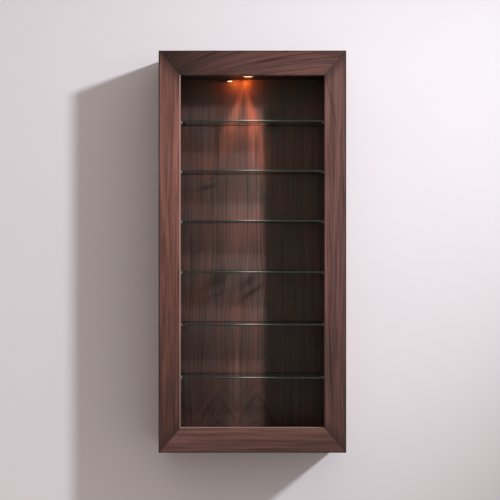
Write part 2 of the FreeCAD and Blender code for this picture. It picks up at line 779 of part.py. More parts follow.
def lamp_hole(lamp):
    """The round hole in the ceiling board for one lamp's housing."""
    x, y = LAMPS[lamp]
    radius = f"{lamp_size(lamp, 'housing_diameter')} / 2 + dims.fit_clearance"
    height = "dims.light_panel_thickness + 2 * dims.overrun"
    return cylinder(lamp + "_hole", radius, height, (x, y, f"{CEILING} - dims.overrun"))


def driver_screw_places():
    """The middles of the supply's two fixing screws."""
    ear_middle = "dims.driver_ear_length / 2"
    return [
        (f"{DRIVER_START} + {ear_middle}", f"{DRIVER_FRONT} - {ear_middle}"),
        (f"{DRIVER_END} - {ear_middle}", f"{DRIVER_FRONT} - {ear_middle}"),
    ]


def driver_screw_bar(name, x, y, clearance):
    """The shank of a fixing screw, or with a clearance the hole that takes it."""
    top = f"({CEILING_TOP} + dims.driver_ear_thickness)"
    length = f"dims.driver_screw_length + {clearance}"
    radius = f"dims.driver_screw_diameter / 2 + {clearance}"
    return cylinder(name, radius, length, (x, y, f"{top} - ({length})"))


driver_holes = [
    driver_screw_bar(f"driver_hole_{i}", x, y, FIT) for i, (x, y) in enumerate(driver_screw_places())
]


def light_panel():
    """The ceiling board, resting on the liners, with its lamp holes and fixing holes."""
    half = f"({INNER_HALF} - dims.fit_clearance)"
    outline = rectangle(f"-{half}", half, FRAME_BACK, PANEL_FACE)
    body = prism("light_panel_board", "XY_Plane", outline, "dims.light_panel_thickness", CEILING)
    tools = [lamp_hole(lamp) for lamp in LAMPS] + all_of(panel_holes) + driver_holes
    node("light_panel", cut("light_panel_cut", body, tools))


light_panel()


# Lamps. Each profile is drawn with heights measured from the underside of the ceiling board.

def lamp_bezel(lamp):
    """The metal ring against the ceiling."""
    outer = f"{lamp_size(lamp, 'bezel_diameter')} / 2"
    inner = f"{lamp_size(lamp, 'lens_diameter')} / 2 + dims.fit_clearance"
    rim = lamp_size(lamp, "bezel_thickness")
    flare = f"(({outer} + {inner}) / 2)"
    profile = [(inner, f"-{rim}"), (flare, f"-{rim}"), (outer, f"-{rim} / 2"), (outer, "0"), (inner, "0")]
    return turned(lamp + "_bezel_ring", profile)


def lamp_lens(lamp):
    """The frosted window, slightly crowned, with a spigot that seats in the housing."""
    radius = f"{lamp_size(lamp, 'lens_diameter')} / 2"
    drop = lamp_size(lamp, "lens_drop")
    spigot = f"({lamp_size(lamp, 'housing_diameter')} / 2 - dims.lamp_wall - dims.fit_clearance)"
    profile = [
        ("0", f"-{drop}"),
        (f"{radius} * {LENS_EDGE_SHARE}", f"-{drop}"),
        (radius, f"-{lamp_size(lamp, 'bezel_thickness')}"),
        (radius, "0"),
        (spigot, "0"),
        (spigot, "dims.lens_seat_depth"),
        ("0", "dims.lens_seat_depth"),
    ]
    return turned(lamp + "_lens_window", profile)


def lamp_housing(lamp):
    """The finned metal cup above the lens, open downwards."""
    outer = f"{lamp_size(lamp, 'housing_diameter')} / 2"
    bore = f"({outer} - dims.lamp_wall)"
    top = lamp_size(lamp, "housing_height")
    ceiling = f"({top} - dims.lamp_wall)"
    profile = [(bore, "0"), (outer, "0")]
    for fin in range(LAMP_FIN_COUNT, 0, -1):
        low = f"({top} - {fin} * dims.fin_pitch)"
        profile += [
            (outer, low),
            (f"({outer} - dims.fin_depth)", low),
            (f"({outer} - dims.fin_depth)", f"({low} + dims.fin_pitch - dims.fin_height)"),
            (outer, f"({low} + dims.fin_pitch - dims.fin_height)"),
        ]
    profile += [(outer, top), ("0", top), ("0", ceiling), (bore, ceiling)]
    return turned(lamp + "_housing_cup", profile)


def lamp_board(lamp):
    """The round circuit board that carries the light source, under the cup's ceiling."""
    radius = f"({lamp_size(lamp, 'housing_diameter')} / 2 - dims.lamp_wall - dims.fit_clearance)"
    ceiling = f"({lamp_size(lamp, 'housing_height')} - dims.lamp_wall)"
    profile = [
        ("0", f"{ceiling} - dims.lamp_board_thickness"),
        (radius, f"{ceiling} - dims.lamp_board_thickness"),
        (radius, ceiling),
        ("0", ceiling),
    ]
    return turned(lamp + "_board_disc", profile)


def lamp_clip(lamp, hand):
    """A bent spring strip from the cup down to the top of the ceiling board."""
    x, y = LAMPS[lamp]
    wall = f"({lamp_size(lamp, 'housing_diameter')} / 2)"
    high = f"({CEILING_TOP} + dims.clip_rise)"
    thick = "dims.clip_thickness"
    shape = [
        (wall, high),
        (wall, f"{high} + {thick}"),
        (f"{wall} + dims.clip_reach", f"{CEILING_TOP} + {thick}"),
        (f"{wall} + dims.clip_reach", CEILING_TOP),
        (f"{wall} + dims.clip_reach - {thick}", CEILING_TOP),
    ]
    outline = [(f"{x} + {hand} * ({across})", z) for across, z in shape]
    middle = f"-({y}) - dims.clip_width / 2"
    name = f"{lamp}_clip_{'right' if hand > 0 else 'left'}"
    return prism(name, "XZ_Plane", outline, "dims.clip_width", middle)


LAMP_MAKERS = {"bezel": lamp_bezel, "lens": lamp_lens, "housing": lamp_housing, "board": lamp_board}
for lamp_name, (lamp_x, lamp_y) in LAMPS.items():
    for part_name, make in LAMP_MAKERS.items():
        node(f"{lamp_name}_{part_name}", make(lamp_name), (lamp_x, lamp_y, CEILING))


# Low-voltage supply on top of the ceiling board.

def driver_case():
    """A shallow box open upwards, with two fixing ears on its front wall."""
    outline = rectangle(DRIVER_START, DRIVER_END, DRIVER_FRONT, DRIVER_REAR)
    body = prism("driver_case_box", "XY_Plane", outline, "dims.driver_height - dims.driver_wall", CEILING_TOP)
    wall = "dims.driver_wall"
    hollow = rectangle(
        f"{DRIVER_START} + {wall}",
        f"{DRIVER_END} - {wall}",
        f"{DRIVER_FRONT} + {wall}",
        f"{DRIVER_REAR} - {wall}",
    )
    depth = f"dims.driver_height - 2 * {wall}"
    pocket(body, "driver_case_hollow", "XY_Plane", hollow, depth, f"{DRIVER_TOP} - {wall}")
    ears = []
    for i, (x, y) in enumerate(driver_screw_places()):
        size = ("dims.driver_ear_length", "dims.driver_ear_length", "dims.driver_ear_thickness")
        low_x = f"{x} - dims.driver_ear_length / 2"
        low_y = f"{y} - dims.driver_ear_length / 2"
        ears.append(box(f"driver_ear_{i}", size, (low_x, low_y, CEILING_TOP)))
    whole = fuse("driver_case_eared", [body] + ears)
    node("driver_case", cut("driver_case_cut", whole, driver_holes))


def driver_lid():
    """The flat cover on the supply."""
    outline = rectangle(DRIVER_START, DRIVER_END, DRIVER_FRONT, DRIVER_REAR)
    node(
        "driver_lid",
        prism("driver_lid_plate", "XY_Plane", outline, "dims.driver_wall", f"{DRIVER_TOP} - dims.driver_wall"),
    )


def driver_screws():
    """Two round-headed screws through the supply's ears."""
    screws = []
    for i, (x, y) in enumerate(driver_screw_places()):
        head = cylinder(
            f"driver_screw_head_{i}",
            "dims.driver_screw_head_diameter / 2",
            "dims.driver_screw_head_height",
            (x, y, f"{CEILING_TOP} + dims.driver_ear_thickness"),
        )
        shank = driver_screw_bar(f"driver_screw_shank_{i}", x, y, NO_CLEARANCE)
        screws.append(fuse(f"driver_screw_{i}", [head, shank]))
    node("driver_screws", group("driver_screw_set", screws))


SOCKETS = {"front_lamp": FRONT_SOCKET_Y, "rear_lamp": REAR_LAMP_Y}


def output_block():
    """The block at the supply's end that takes the two lamp leads."""
    low_y = f"({FRONT_SOCKET_Y} - dims.socket_margin)"
    size = (
        "dims.output_block_length",
        f"{REAR_LAMP_Y} + dims.socket_margin - {low_y}",
        "dims.output_block_height",
    )
    blank = box("output_block_blank", size, (OUTPUT_FACE, low_y, CEILING_TOP))
    radius = "dims.lead_diameter / 2 + dims.fit_clearance"
    length = "dims.socket_depth + dims.overrun"
    holes = [
        cylinder(f"output_socket_{lamp}", radius, length, (f"{OUTPUT_FACE} - dims.overrun", y, LEAD_HEIGHT), "x")
        for lamp, y in SOCKETS.items()
    ]
    node("output_block", cut("output_block_cut", blank, holes))


def mains_inlet():
    """The socket at the supply's other end, with its two pins standing in the recess."""
    low_y = f"({DRIVER_MIDDLE} - dims.inlet_width / 2)"
    size = ("dims.inlet_length", "dims.inlet_width", "dims.inlet_height")
    blank = box("mains_inlet_blank", size, (DRIVER_END, low_y, CEILING_TOP))
    wall = "dims.inlet_wall"
    inner = ("dims.inlet_recess + dims.overrun", f"dims.inlet_width - 2 * {wall}", f"dims.inlet_height - 2 * {wall}")
    mouth = f"({DRIVER_END} + dims.inlet_length)"
    recess_at = (f"{mouth} - dims.inlet_recess", f"{low_y} + {wall}", f"{CEILING_TOP} + {wall}")
    node("mains_inlet", cut("mains_inlet_cut", blank, [box("mains_inlet_recess", inner, recess_at)]))
    pins = []
    for hand in (-1, 1):
        y = f"{DRIVER_MIDDLE} + {hand} * dims.inlet_pin_pitch / 2"
        at = (f"{mouth} - dims.inlet_recess", y, f"{CEILING_TOP} + dims.inlet_height / 2")
        name = f"inlet_pin_{'rear' if hand > 0 else 'front'}"
        pins.append(cylinder(name, "dims.inlet_pin_diameter / 2", "dims.inlet_pin_length", at, "x"))
    node("inlet_pins", group("inlet_pin_set", pins))


driver_case()
driver_lid()
driver_screws()
output_block()
mains_inlet()


# Leads from the supply to the lamps, lying on the ceiling board under small saddles.

def route_wire(points):
    """A path of straight runs joined by tangent arcs, and its length."""
    edges = []
    start = points[0]
    for before, corner, after in zip(points, points[1:], points[2:]):
        inward = (before - corner).normalize()
        outward = (after - corner).normalize()
        half_turn = (math.pi - inward.getAngle(outward)) / 2
        shorter = min((before - corner).Length, (after - corner).Length)
        setback = shorter * LEAD_RADIUS_SHARE
        radius = setback / math.tan(half_turn)
        first = corner + inward * setback
        last = corner + outward * setback
        bisector = (inward + outward).normalize()
        centre = corner + bisector * math.hypot(radius, setback)
        middle = centre - bisector * radius
        edges.append(Part.LineSegment(start, first).toShape())
        edges.append(Part.Arc(first, middle, last).toShape())
        start = last
        print(f"lead bend radius {radius:.2f}")
    edges.append(Part.LineSegment(start, points[-1]).toShape())
    return Part.Wire(edges)


def lead(label, points):
    """A round lead swept along its route, with its volume compared with section times length."""
    path = route_wire([FreeCAD.Vector(*(value(c) for c in point)) for point in points])
    radius = value("dims.lead_diameter") / 2
    along = path.Edges[0].tangentAt(path.Edges[0].FirstParameter)
    ring = Part.Wire(Part.makeCircle(radius, path.Vertexes[0].Point, along))
    solid = path.makePipeShell([ring], True, False)
    expected = math.pi * radius**2 * path.Length
    print(f"{label} volume over section times length {solid.Volume / expected:.4f}")
    feature = doc.addObject("Part::Feature", label + "_tube")
    feature.Shape = solid
    node(label, feature)


LEAD_END = f"({OUTPUT_FACE} + dims.socket_depth - dims.lead_end_gap)"
FRONT_LEAD_START = f"({FRONT_LAMP_X} + dims.front_housing_diameter / 2)"
TURN_X = f"({FRONT_LEAD_START} + ({LEAD_END} - {FRONT_LEAD_START}) * {LEAD_TURN_SHARE})"
FRONT_ROUTE = [
    (FRONT_LEAD_START, FRONT_LAMP_Y, LEAD_HEIGHT),
    (TURN_X, FRONT_LAMP_Y, LEAD_HEIGHT),
    (TURN_X, FRONT_SOCKET_Y, LEAD_HEIGHT),
    (LEAD_END, FRONT_SOCKET_Y, LEAD_HEIGHT),
]
REAR_ROUTE = [
    (f"{REAR_LAMP_X} + dims.rear_housing_diameter / 2", REAR_LAMP_Y, LEAD_HEIGHT),
    (LEAD_END, REAR_LAMP_Y, LEAD_HEIGHT),
]
lead("front_lamp_lead", FRONT_ROUTE)
lead("rear_lamp_lead", REAR_ROUTE)


def lead_clip(name, x, y, along):
    """A saddle over a lead, with a foot each side, along X or Y."""
    bore = "(dims.lead_diameter / 2 + dims.fit_clearance)"
    outer = f"({bore} + dims.lead_clip_wall)"
    half = f"({outer} + dims.lead_clip_foot)"
    crown = f"({LEAD_HEIGHT} + {outer})"
    foot_top = f"({CEILING_TOP} + dims.lead_clip_wall)"
    half_length = "dims.lead_clip_length / 2"
    shape = [
        (f"-{half}", CEILING_TOP),
        (f"-{half}", foot_top),
        (f"-{outer}", foot_top),
        (f"-{outer}", crown),
        (outer, crown),
        (outer, foot_top),
        (half, foot_top),
        (half, CEILING_TOP),
        (bore, CEILING_TOP),
        (bore, f"({LEAD_HEIGHT} + {bore})"),
        (f"-{bore}", f"({LEAD_HEIGHT} + {bore})"),
        (f"-{bore}", CEILING_TOP),
    ]
    if along == "x":
        outline = [(f"{y} + ({across})", z) for across, z in shape]
        return prism(name, "YZ_Plane", outline, "dims.lead_clip_length", f"{x} - {half_length}")
    outline = [(f"{x} + ({across})", z) for across, z in shape]
    return prism(name, "XZ_Plane", outline, "dims.lead_clip_length", f"-({y}) - {half_length}")


lead_saddles = [
    lead_clip("front_lead_clip", TURN_X, f"({FRONT_LAMP_Y} + {FRONT_SOCKET_Y}) / 2", "y"),
    lead_clip("rear_lead_clip", f"(({REAR_LAMP_X} + {OUTPUT_FACE}) / 2)", REAR_LAMP_Y, "x"),
]
node("lead_clips", group("lead_clip_set", lead_saddles))
node("lamp_clips", group("lamp_clip_set", [lamp_clip(lamp_name, -1) for lamp_name in LAMPS]))


# Hanging rails: the cabinet's own, and the one that stays on the wall.

def cabinet_cleat():
    """The rail across the back of the box, bevelled so that its lower lip hooks behind the wall's rail."""
    half = f"({INNER_HALF} - dims.fit_clearance)"
    section = [
        (CLEAT_FRONT, WALL_CLEAT_TOP),
        (CLEAT_REAR, CLEAT_TIP),
        (CLEAT_REAR, TOP_UNDERSIDE),
        (CLEAT_FRONT, TOP_UNDERSIDE),
    ]
    body = prism("cabinet_cleat_rail", "YZ_Plane", section, f"2 * {half}", symmetric=True)
    node("cabinet_cleat", cut("cabinet_cleat_cut", body, all_of(cleat_holes)))


def wall_cleat():
    """The rail screwed to the wall, with two countersunk holes."""
    section = [
        (CLEAT_FRONT, WALL_CLEAT_FOOT),
        ("0", WALL_CLEAT_FOOT),
        ("0", f"({WALL_CLEAT_TOP} - dims.cleat_thickness)"),
        (CLEAT_FRONT, WALL_CLEAT_TOP),
    ]
    body = prism("wall_cleat_rail", "YZ_Plane", section, f"2 * {WALL_CLEAT_HALF}", symmetric=True)
    tools = []
    for hand, side in ((-1, "left"), (1, "right")):
        x = f"{hand} * {SCREW_HALF_SPACING}"
        radius = "dims.screw_hole_diameter / 2"
        length = "dims.cleat_thickness + 2 * dims.overrun"
        shank = cylinder(f"wall_hole_{side}", radius, length, (x, f"{CLEAT_FRONT} - dims.overrun", HANG_HEIGHT), "y")
        sink = doc.addObject("Part::Cone", f"wall_sink_{side}")
        sink.setExpression("Radius1", "dims.countersink_diameter / 2")
        sink.setExpression("Radius2", radius)
        sink.setExpression("Height", f"dims.countersink_diameter / 2 - {radius}")
        place(sink, (x, CLEAT_FRONT, HANG_HEIGHT), TURN_TO_Y)
        tools.append(fuse(f"wall_screw_seat_{side}", [shank, sink]))
    node("wall_cleat", cut("wall_cleat_cut", body, tools))


cabinet_cleat()
wall_cleat()


def check_document():
    """Stops the build if any object failed or any sub-part has no valid solid."""
    doc.recompute()
    for obj in doc.Objects:
        if "Invalid" in obj.State or "Error" in obj.State:
            raise RuntimeError(f"{obj.Name} failed: {obj.State}")
    for label, obj in NODES.items():
        if obj.Shape.isNull() or not obj.Shape.isValid() or not obj.Shape.Solids:
            raise RuntimeError(f"{label} has no valid solid")


check_document()
os.makedirs("parts", exist_ok=True)
for label, obj in NODES.items():
    obj.Shape.exportStep(f"parts/{label}.step")
    print(f"{label}: {len(obj.Shape.Solids)} solid(s), {obj.Shape.Volume:.1f} mm3")
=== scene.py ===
"""Looks of a wall-hung display cabinet: walnut, glass shelves and two warm lamps, in metres."""

import logging
import math
from dataclasses import dataclass
from enum import Enum
from typing import Iterable, List, Optional, Sequence, Tuple, Union

import bpy
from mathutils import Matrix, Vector


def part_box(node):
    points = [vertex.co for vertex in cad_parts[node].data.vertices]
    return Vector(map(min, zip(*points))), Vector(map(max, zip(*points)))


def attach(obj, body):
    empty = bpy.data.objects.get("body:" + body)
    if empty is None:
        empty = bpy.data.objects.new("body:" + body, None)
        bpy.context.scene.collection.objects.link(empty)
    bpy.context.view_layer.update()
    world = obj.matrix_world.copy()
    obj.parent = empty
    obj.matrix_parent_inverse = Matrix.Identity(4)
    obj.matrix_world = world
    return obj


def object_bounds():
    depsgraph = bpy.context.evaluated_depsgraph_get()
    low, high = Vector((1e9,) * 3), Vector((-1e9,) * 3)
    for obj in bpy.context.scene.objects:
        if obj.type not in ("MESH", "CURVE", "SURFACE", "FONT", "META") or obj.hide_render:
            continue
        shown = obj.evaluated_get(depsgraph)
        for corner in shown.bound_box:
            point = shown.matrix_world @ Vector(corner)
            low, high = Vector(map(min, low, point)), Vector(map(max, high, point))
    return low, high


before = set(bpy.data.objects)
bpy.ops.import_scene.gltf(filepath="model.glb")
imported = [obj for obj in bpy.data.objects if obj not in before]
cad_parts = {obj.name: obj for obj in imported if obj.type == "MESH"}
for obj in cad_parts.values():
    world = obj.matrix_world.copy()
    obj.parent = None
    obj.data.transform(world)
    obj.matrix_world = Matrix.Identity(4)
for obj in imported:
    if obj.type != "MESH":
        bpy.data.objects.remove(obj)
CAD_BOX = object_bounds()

LOG = logging.getLogger("cabinet")
LOW, HIGH = CAD_BOX
Colour = Tuple[float, float, float]
Point = Tuple[float, float, float]
Span = Tuple[float, float]
Socket = bpy.types.NodeSocket

# The level that noise swings about, and the part of its range that is drawn out into soft patches.
HALF = 0.5
SOFT: Span = (0.3, 0.7)
# The share of the depth that counts as place across the fibres, so that grain turns over a board's edge.
EDGE_TURN = 0.83
# Oiled wood: what pores and threads add to its roughness, how high its fibres stand, and its shine.
PORE_ROUGH = 0.2
THREAD_ROUGH = 0.08
FIBRE_HEIGHT = 0.5
WOOD_DEPTH = 0.0004
WOOD_SHINE = 0.3
# Metal: the strength and depth of its wear.
WEAR_RELIEF: Span = (0.06, 0.0001)
WEAR_DETAIL = 3.0


class Value:
    """A number socket whose operators add Math nodes to its tree."""

    def __init__(self, nodes: "Nodes", socket: Socket) -> None:
        """Keeps the socket and the nodes it belongs to."""
        self.nodes = nodes
        self.socket = socket

    def _math(self, operation: str, *operands: "Number") -> "Value":
        """Adds one Math node, whose operands go into its sockets in order."""
        return self.nodes.value("ShaderNodeMath", {"operation": operation}, dict(enumerate(operands)))

    def __add__(self, other: "Number") -> "Value":
        """self + other."""
        return self._math("ADD", self, other)

    def __radd__(self, other: "Number") -> "Value":
        """other + self."""
        return self._math("ADD", other, self)

    def __sub__(self, other: "Number") -> "Value":
        """self - other."""
        return self._math("SUBTRACT", self, other)

    def __rsub__(self, other: "Number") -> "Value":
        """other - self."""
        return self._math("SUBTRACT", other, self)

    def __mul__(self, other: "Number") -> "Value":
        """self * other."""
        return self._math("MULTIPLY", self, other)

    def __rmul__(self, other: "Number") -> "Value":
        """other * self."""
        return self._math("MULTIPLY", other, self)

    def __truediv__(self, other: "Number") -> "Value":
        """self / other."""
        return self._math("DIVIDE", self, other)

    def __rtruediv__(self, other: "Number") -> "Value":
        """other / self."""
        return self._math("DIVIDE", other, self)

    def __pow__(self, other: "Number") -> "Value":
        """self ** other."""
        return self._math("POWER", self, other)

    def __neg__(self) -> "Value":
        """Self with its sign changed."""
        return self._math("MULTIPLY", self, -1.0)

    def __abs__(self) -> "Value":
        """Self without its sign."""
        return self._math("ABSOLUTE", self)

    def least(self, other: "Number") -> "Value":
        """The smaller of self and other."""
        return self._math("MINIMUM", self, other)

    def most(self, other: "Number") -> "Value":
        """The larger of self and other."""
        return self._math("MAXIMUM", self, other)

    def clamp(self) -> "Value":
        """Self held between nought and one."""
        return self.most(0.0).least(1.0)

    def exp(self) -> "Value":
        """e to the power of self."""
        return self._math("EXPONENT", self)

    def root(self) -> "Value":
        """The square root of self."""
        return self._math("SQRT", self)

    def step(self, low: float, high: float) -> "Value":
        """A smooth rise from nought at low to one at high."""
        settings = {"interpolation_type": "SMOOTHSTEP"}
        return self.nodes.value("ShaderNodeMapRange", settings, {0: self, 1: low, 2: high})

    def fall(self, low: float, high: float) -> "Value":
        """A smooth fall from one at low to nought at high."""
        return 1.0 - self.step(low, high)

    def bell(self, middle: float, width: float) -> "Value":
        """A hump that is one at the middle and falls off over the width."""
        share = (self - middle) / width
        return (-(share * share)).exp()

    def between(self, first: float, last: float) -> "Value":
        """The first number where self is nought, running to the last where it is one."""
        return first + self * (last - first)

    def swing(self, amount: float) -> "Value":
        """A level about a half, turned into a swing about nought."""
        return (self - HALF) * amount


Number = Union[float, Value]
Input = Union[float, Sequence[float], Value, Socket]
Place = Tuple[Value, Value, Value]


def total(parts: Iterable[Value]) -> Value:
    """The sum of numbers."""
    first, *rest = parts
    return sum(rest, first)


def dimmed(colour: Colour, share: float) -> Colour:
    """A colour times a share."""
    return tuple(part * share for part in colour)


class Nodes:
    """A node tree, to which every node is added by one method."""

    def __init__(self, tree: bpy.types.NodeTree) -> None:
        """Empties the tree."""
        self.tree = tree
        tree.nodes.clear()

    def add(
        self,
        kind: str,
        settings: Optional[dict] = None,
        inputs: Optional[dict] = None,
    ) -> bpy.types.Node:
        """Adds a node.

        Args:
            kind: the node's Blender type.
            settings: its own properties, which are set first.
            inputs: the values or links of its sockets, by name or number.

        Returns:
            The node.
        """
        node = self.tree.nodes.new(kind)
        for key, setting in (settings or {}).items():
            setattr(node, key, setting)
        for key, given in (inputs or {}).items():
            source = given.socket if isinstance(given, Value) else given
            if isinstance(source, Socket):
                self.tree.links.new(source, node.inputs[key])
            else:
                node.inputs[key].default_value = source
        return node

    def value(self, kind: str, settings: Optional[dict] = None, inputs: Optional[dict] = None) -> Value:
        """Adds a node and returns its first output as a number."""
        return Value(self, self.add(kind, settings, inputs).outputs[0])

    def split(self, output: str) -> Place:
        """One of the surface's own coordinates, as three numbers.

        Args:
            output: "Object" for the place in metres, "Normal" or "Generated" for the direction.

        Returns:
            Its three parts.
        """
        vector = self.add("ShaderNodeTexCoord").outputs[output]
        parts = self.add("ShaderNodeSeparateXYZ", None, {0: vector}).outputs
        return tuple(Value(self, part) for part in parts)

    def rays(self, *names: str) -> Value:
        """One where the ray is of any of the named kinds, and nought elsewhere."""
        path = self.add("ShaderNodeLightPath").outputs
        return total(Value(self, path[f"Is {name} Ray"]) for name in names).clamp()

    def noise(self, place: Sequence[Number], detail: float = 2.0, rough: float = 0.5) -> Value:
        """Soft noise of unit scale.

        Args:
            place: the three coordinates that it is looked up at.
            detail: how many finer layers it has.
            rough: how strong those layers are.

        Returns:
            A number about a half.
        """
        vector = self.add("ShaderNodeCombineXYZ", None, dict(enumerate(place))).outputs[0]
        inputs = {"Vector": vector, "Scale": 1.0, "Detail": detail, "Roughness": rough}
        return self.value("ShaderNodeTexNoise", {"noise_dimensions": "3D"}, inputs)

    def specks(self, scale: Union[float, Point], detail: float = 2.0) -> Value:
        """Noise that is laid evenly over the surface's own place.

        Args:
            scale: how many specks there are to a metre, in all directions or along X, Y and Z.
            detail: how many finer layers it has.

        Returns:
            A number about a half.
        """
        scales = scale if isinstance(scale, tuple) else (scale, scale, scale)
        return self.noise([part * fine for part, fine in zip(self.split("Object"), scales)], detail)

    def mix(self, factor: Input, first: Input, second: Input, blend: str = "MIX") -> Socket:
        """Two colours mixed.

        Args:
            factor: the share of the second.
            first: a colour or a socket.
            second: a colour or a socket.
            blend: Blender's name of the blend.

        Returns:
            The mixed colour's socket.
        """
        settings = {"data_type": "RGBA", "blend_type": blend}
        inputs = {0: factor, 6: self.rgba(first), 7: self.rgba(second)}
        return self.add("ShaderNodeMix", settings, inputs).outputs[2]

    @staticmethod
    def rgba(colour: Input) -> Input:
        """A plain colour with its alpha, or the socket as it is."""
        return (*colour, 1.0) if isinstance(colour, tuple) else colour


class Shader(Nodes):
    """One material and its nodes."""

    def __init__(self, name: str) -> None:
        """Starts a material with nothing but its output.

        Args:
            name: what the material is called.
        """
        self.material = bpy.data.materials.new(name)
        self.material.use_nodes = True
        super().__init__(self.material.node_tree)
        self.output = self.add("ShaderNodeOutputMaterial")

    def bump(self, height: Value, strength: float, distance: float) -> Socket:
        """A normal that follows a height."""
        inputs = {"Height": height, "Strength": strength, "Distance": distance}
        return self.add("ShaderNodeBump", None, inputs).outputs["Normal"]

    def surface(self, **inputs: Input) -> Socket:
        """A Principled shader, its sockets named by their words joined with underscores."""
        named = {key.replace("_", " "): self.rgba(given) for key, given in inputs.items()}
        return self.add("ShaderNodeBsdfPrincipled", None, named).outputs[0]

    def blend(self, factor: Value, first: Socket, second: Socket) -> Socket:
        """Two shaders mixed by a factor."""
        return self.add("ShaderNodeMixShader", None, {0: factor, 1: first, 2: second}).outputs[0]

    def close(self, shade: Socket) -> bpy.types.Material:
        """Links a shader to the output and returns the finished material."""
        self.tree.links.new(shade, self.output.inputs["Surface"])
        return self.material

    def oiled(
        self,
        colour: Socket,
        roughness: float,
        thread: Value,
        pores: Value,
        normal: Socket,
    ) -> bpy.types.Material:
        """Closes the material as oiled wood.

        Args:
            colour: the wood's colour.
            roughness: how matt it is between the pores.
            thread: the finest lines of its figure.
            pores: where its pores are open.
            normal: its relief.

        Returns:
            The finished material.
        """
        return self.close(self.surface(
            Base_Color=colour,
            Roughness=(roughness + pores * PORE_ROUGH + thread.swing(THREAD_ROUGH)).clamp(),
            Normal=normal,
            Specular_IOR_Level=WOOD_SHINE,
        ))


class Grain(Enum):
    """Which way a board's fibres run."""

    UP = "up"
    ACROSS = "across"

    def lay(self, place: Place) -> Tuple[Value, Value, Span]:
        """Sorts a place by the fibres.

        Args:
            place: the three coordinates.

        Returns:
            The place along the fibres, the place across them, and the board's two ends.
        """
        x, y, z = place
        if self is Grain.UP:
            return z, x + y * EDGE_TURN, (LOW.z, HIGH.z)
        return x, z + y * EDGE_TURN, (LOW.x, HIGH.x)


@dataclass(frozen=True)
class Layer:
    """One layer of a wood's figure: noise that is drawn out along the fibres."""

    fine: float
    long: float
    seed: float
    detail: float = 2.0
    rough: float = 0.5
    span: Optional[Span] = None

    def draw(self, shader: Shader, across: Value, along: Value, seed: float = 0.0) -> Value:
        """Draws the layer.

        Args:
            shader: where the nodes go.
            across: the place across the fibres.
            along: the place along them.
            seed: what sets this board apart from the others.

        Returns:
            A number from nought to one.
        """
        place = (across * self.fine, along * self.long, seed + self.seed)
        noise = shader.noise(place, self.detail, self.rough)
        return noise.step(*self.span) if self.span else noise


@dataclass(frozen=True)
class FrameEdge:
    """What a frame member shows beside its grain: mitres, and painted shade and highlights on its outer
    edges, sight edge and inner face.
    """

    # Strengths of the painted highlight: on the sight edge, and on the front of the inner face.
    highlight_share: float = 0.0
    inner_highlight: float = 0.0
    mitre: float = 0.0
    across: Span = (1.0, 1.0)
    # The colours of the painted highlight, and of the painted shade on the outer edges.
    painted_highlight: Colour = (0.5, 0.32, 0.27)
    arris_shade: Colour = (0.016, 0.009, 0.008)
    inner_half: Span = (0.4, 0.6)
    bevel_tilt: float = math.sqrt(0.5)
    bevel_spread: float = 0.12
    inside_turn: Span = (0.2, 0.5)
    mitre_soft: float = 0.45
    mitre_line: float = 0.03
    line_share: float = 0.6
    # The sight edge's painted highlight is weaker towards the bottom; the inner face's fades towards the
    # back.
    highlight_height: Span = (0.0, 0.35)
    highlight_least: float = 0.5
    reveal_end: Span = (0.55, 1.0)

    def shade(self, shader: Shader, place: Place, colour: Socket, dark: Colour) -> Socket:
        """Darkens the mitres, paints shade on the outer edges and the inner faces, and paints a highlight
        on the sight edge and on the front of the inner face.

        Args:
            shader: where the nodes go.
            place: the three coordinates.
            colour: the plain wood.
            dark: the wood's darkest tone.

        Returns:
            The wood with its edges.
        """
        x, y, z = place
        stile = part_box("frame_left_stile")
        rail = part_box("frame_top_rail")
        side = (HIGH.x - abs(x)) / (stile[1].x - stile[0].x)
        middle = (HIGH.z + LOW.z) / 2
        end = ((HIGH.z - LOW.z) / 2 - abs(z - middle)) / (rail[1].z - rail[0].z)
        inset = side.least(end).clamp()
        inner = inset.step(*self.inner_half)
        forward = abs(shader.split("Normal")[1])
        bevel = forward.bell(self.bevel_tilt, self.bevel_spread)
        inside = forward.fall(*self.inside_turn) * inner
        colour = shader.mix(1.0, colour, inset.between(*self.across), "MULTIPLY")
        joint = side - end
        colour = shader.mix(joint.bell(0.0, self.mitre_soft) * self.mitre, colour, dark)
        colour = shader.mix(joint.bell(0.0, self.mitre_line) * self.line_share, colour, dark)
        # Painted shade on the outer edges' bevels.
        colour = shader.mix(bevel * (1.0 - inner), colour, self.arris_shade)
        # Painted highlight on the sight edge's bevel, weaker towards the bottom.
        worn = (z - LOW.z).step(*self.highlight_height).between(self.highlight_least, 1.0)
        colour = shader.mix(bevel * inner * worn * self.highlight_share, colour, self.painted_highlight)
        # Painted shade: the inner faces darkened to the wood's darkest tone.
        colour = shader.mix(inside, colour, dark)
        # Painted highlight on the front of the inner face.
        front = ((y - rail[0].y) / (rail[1].y - rail[0].y)).fall(*self.reveal_end)
        return shader.mix(inside * front * self.inner_highlight, colour, self.painted_highlight)


@dataclass(frozen=True)
class Mark:
    """A dark mark in the wood: a slanting oval."""

    at: Span
    half: Span
    slope: float
    strength: float

    def shade(self, x: Value, height: Value) -> Value:
        """The mark's darkness at a place.

        Args:
            x: the place from left to right.
            height: the place above the cabinet's foot.

        Returns:
            Its strength in the middle, falling to nought.
        """
        reach = math.hypot(1.0, self.slope)
        right = x - self.at[0]
        up = height - self.at[1]
        along = (right + up * self.slope) / (self.half[0] * reach)
        beside = (up - right * self.slope) / (self.half[1] * reach)
        return (-(along * along + beside * beside)).exp() * self.strength


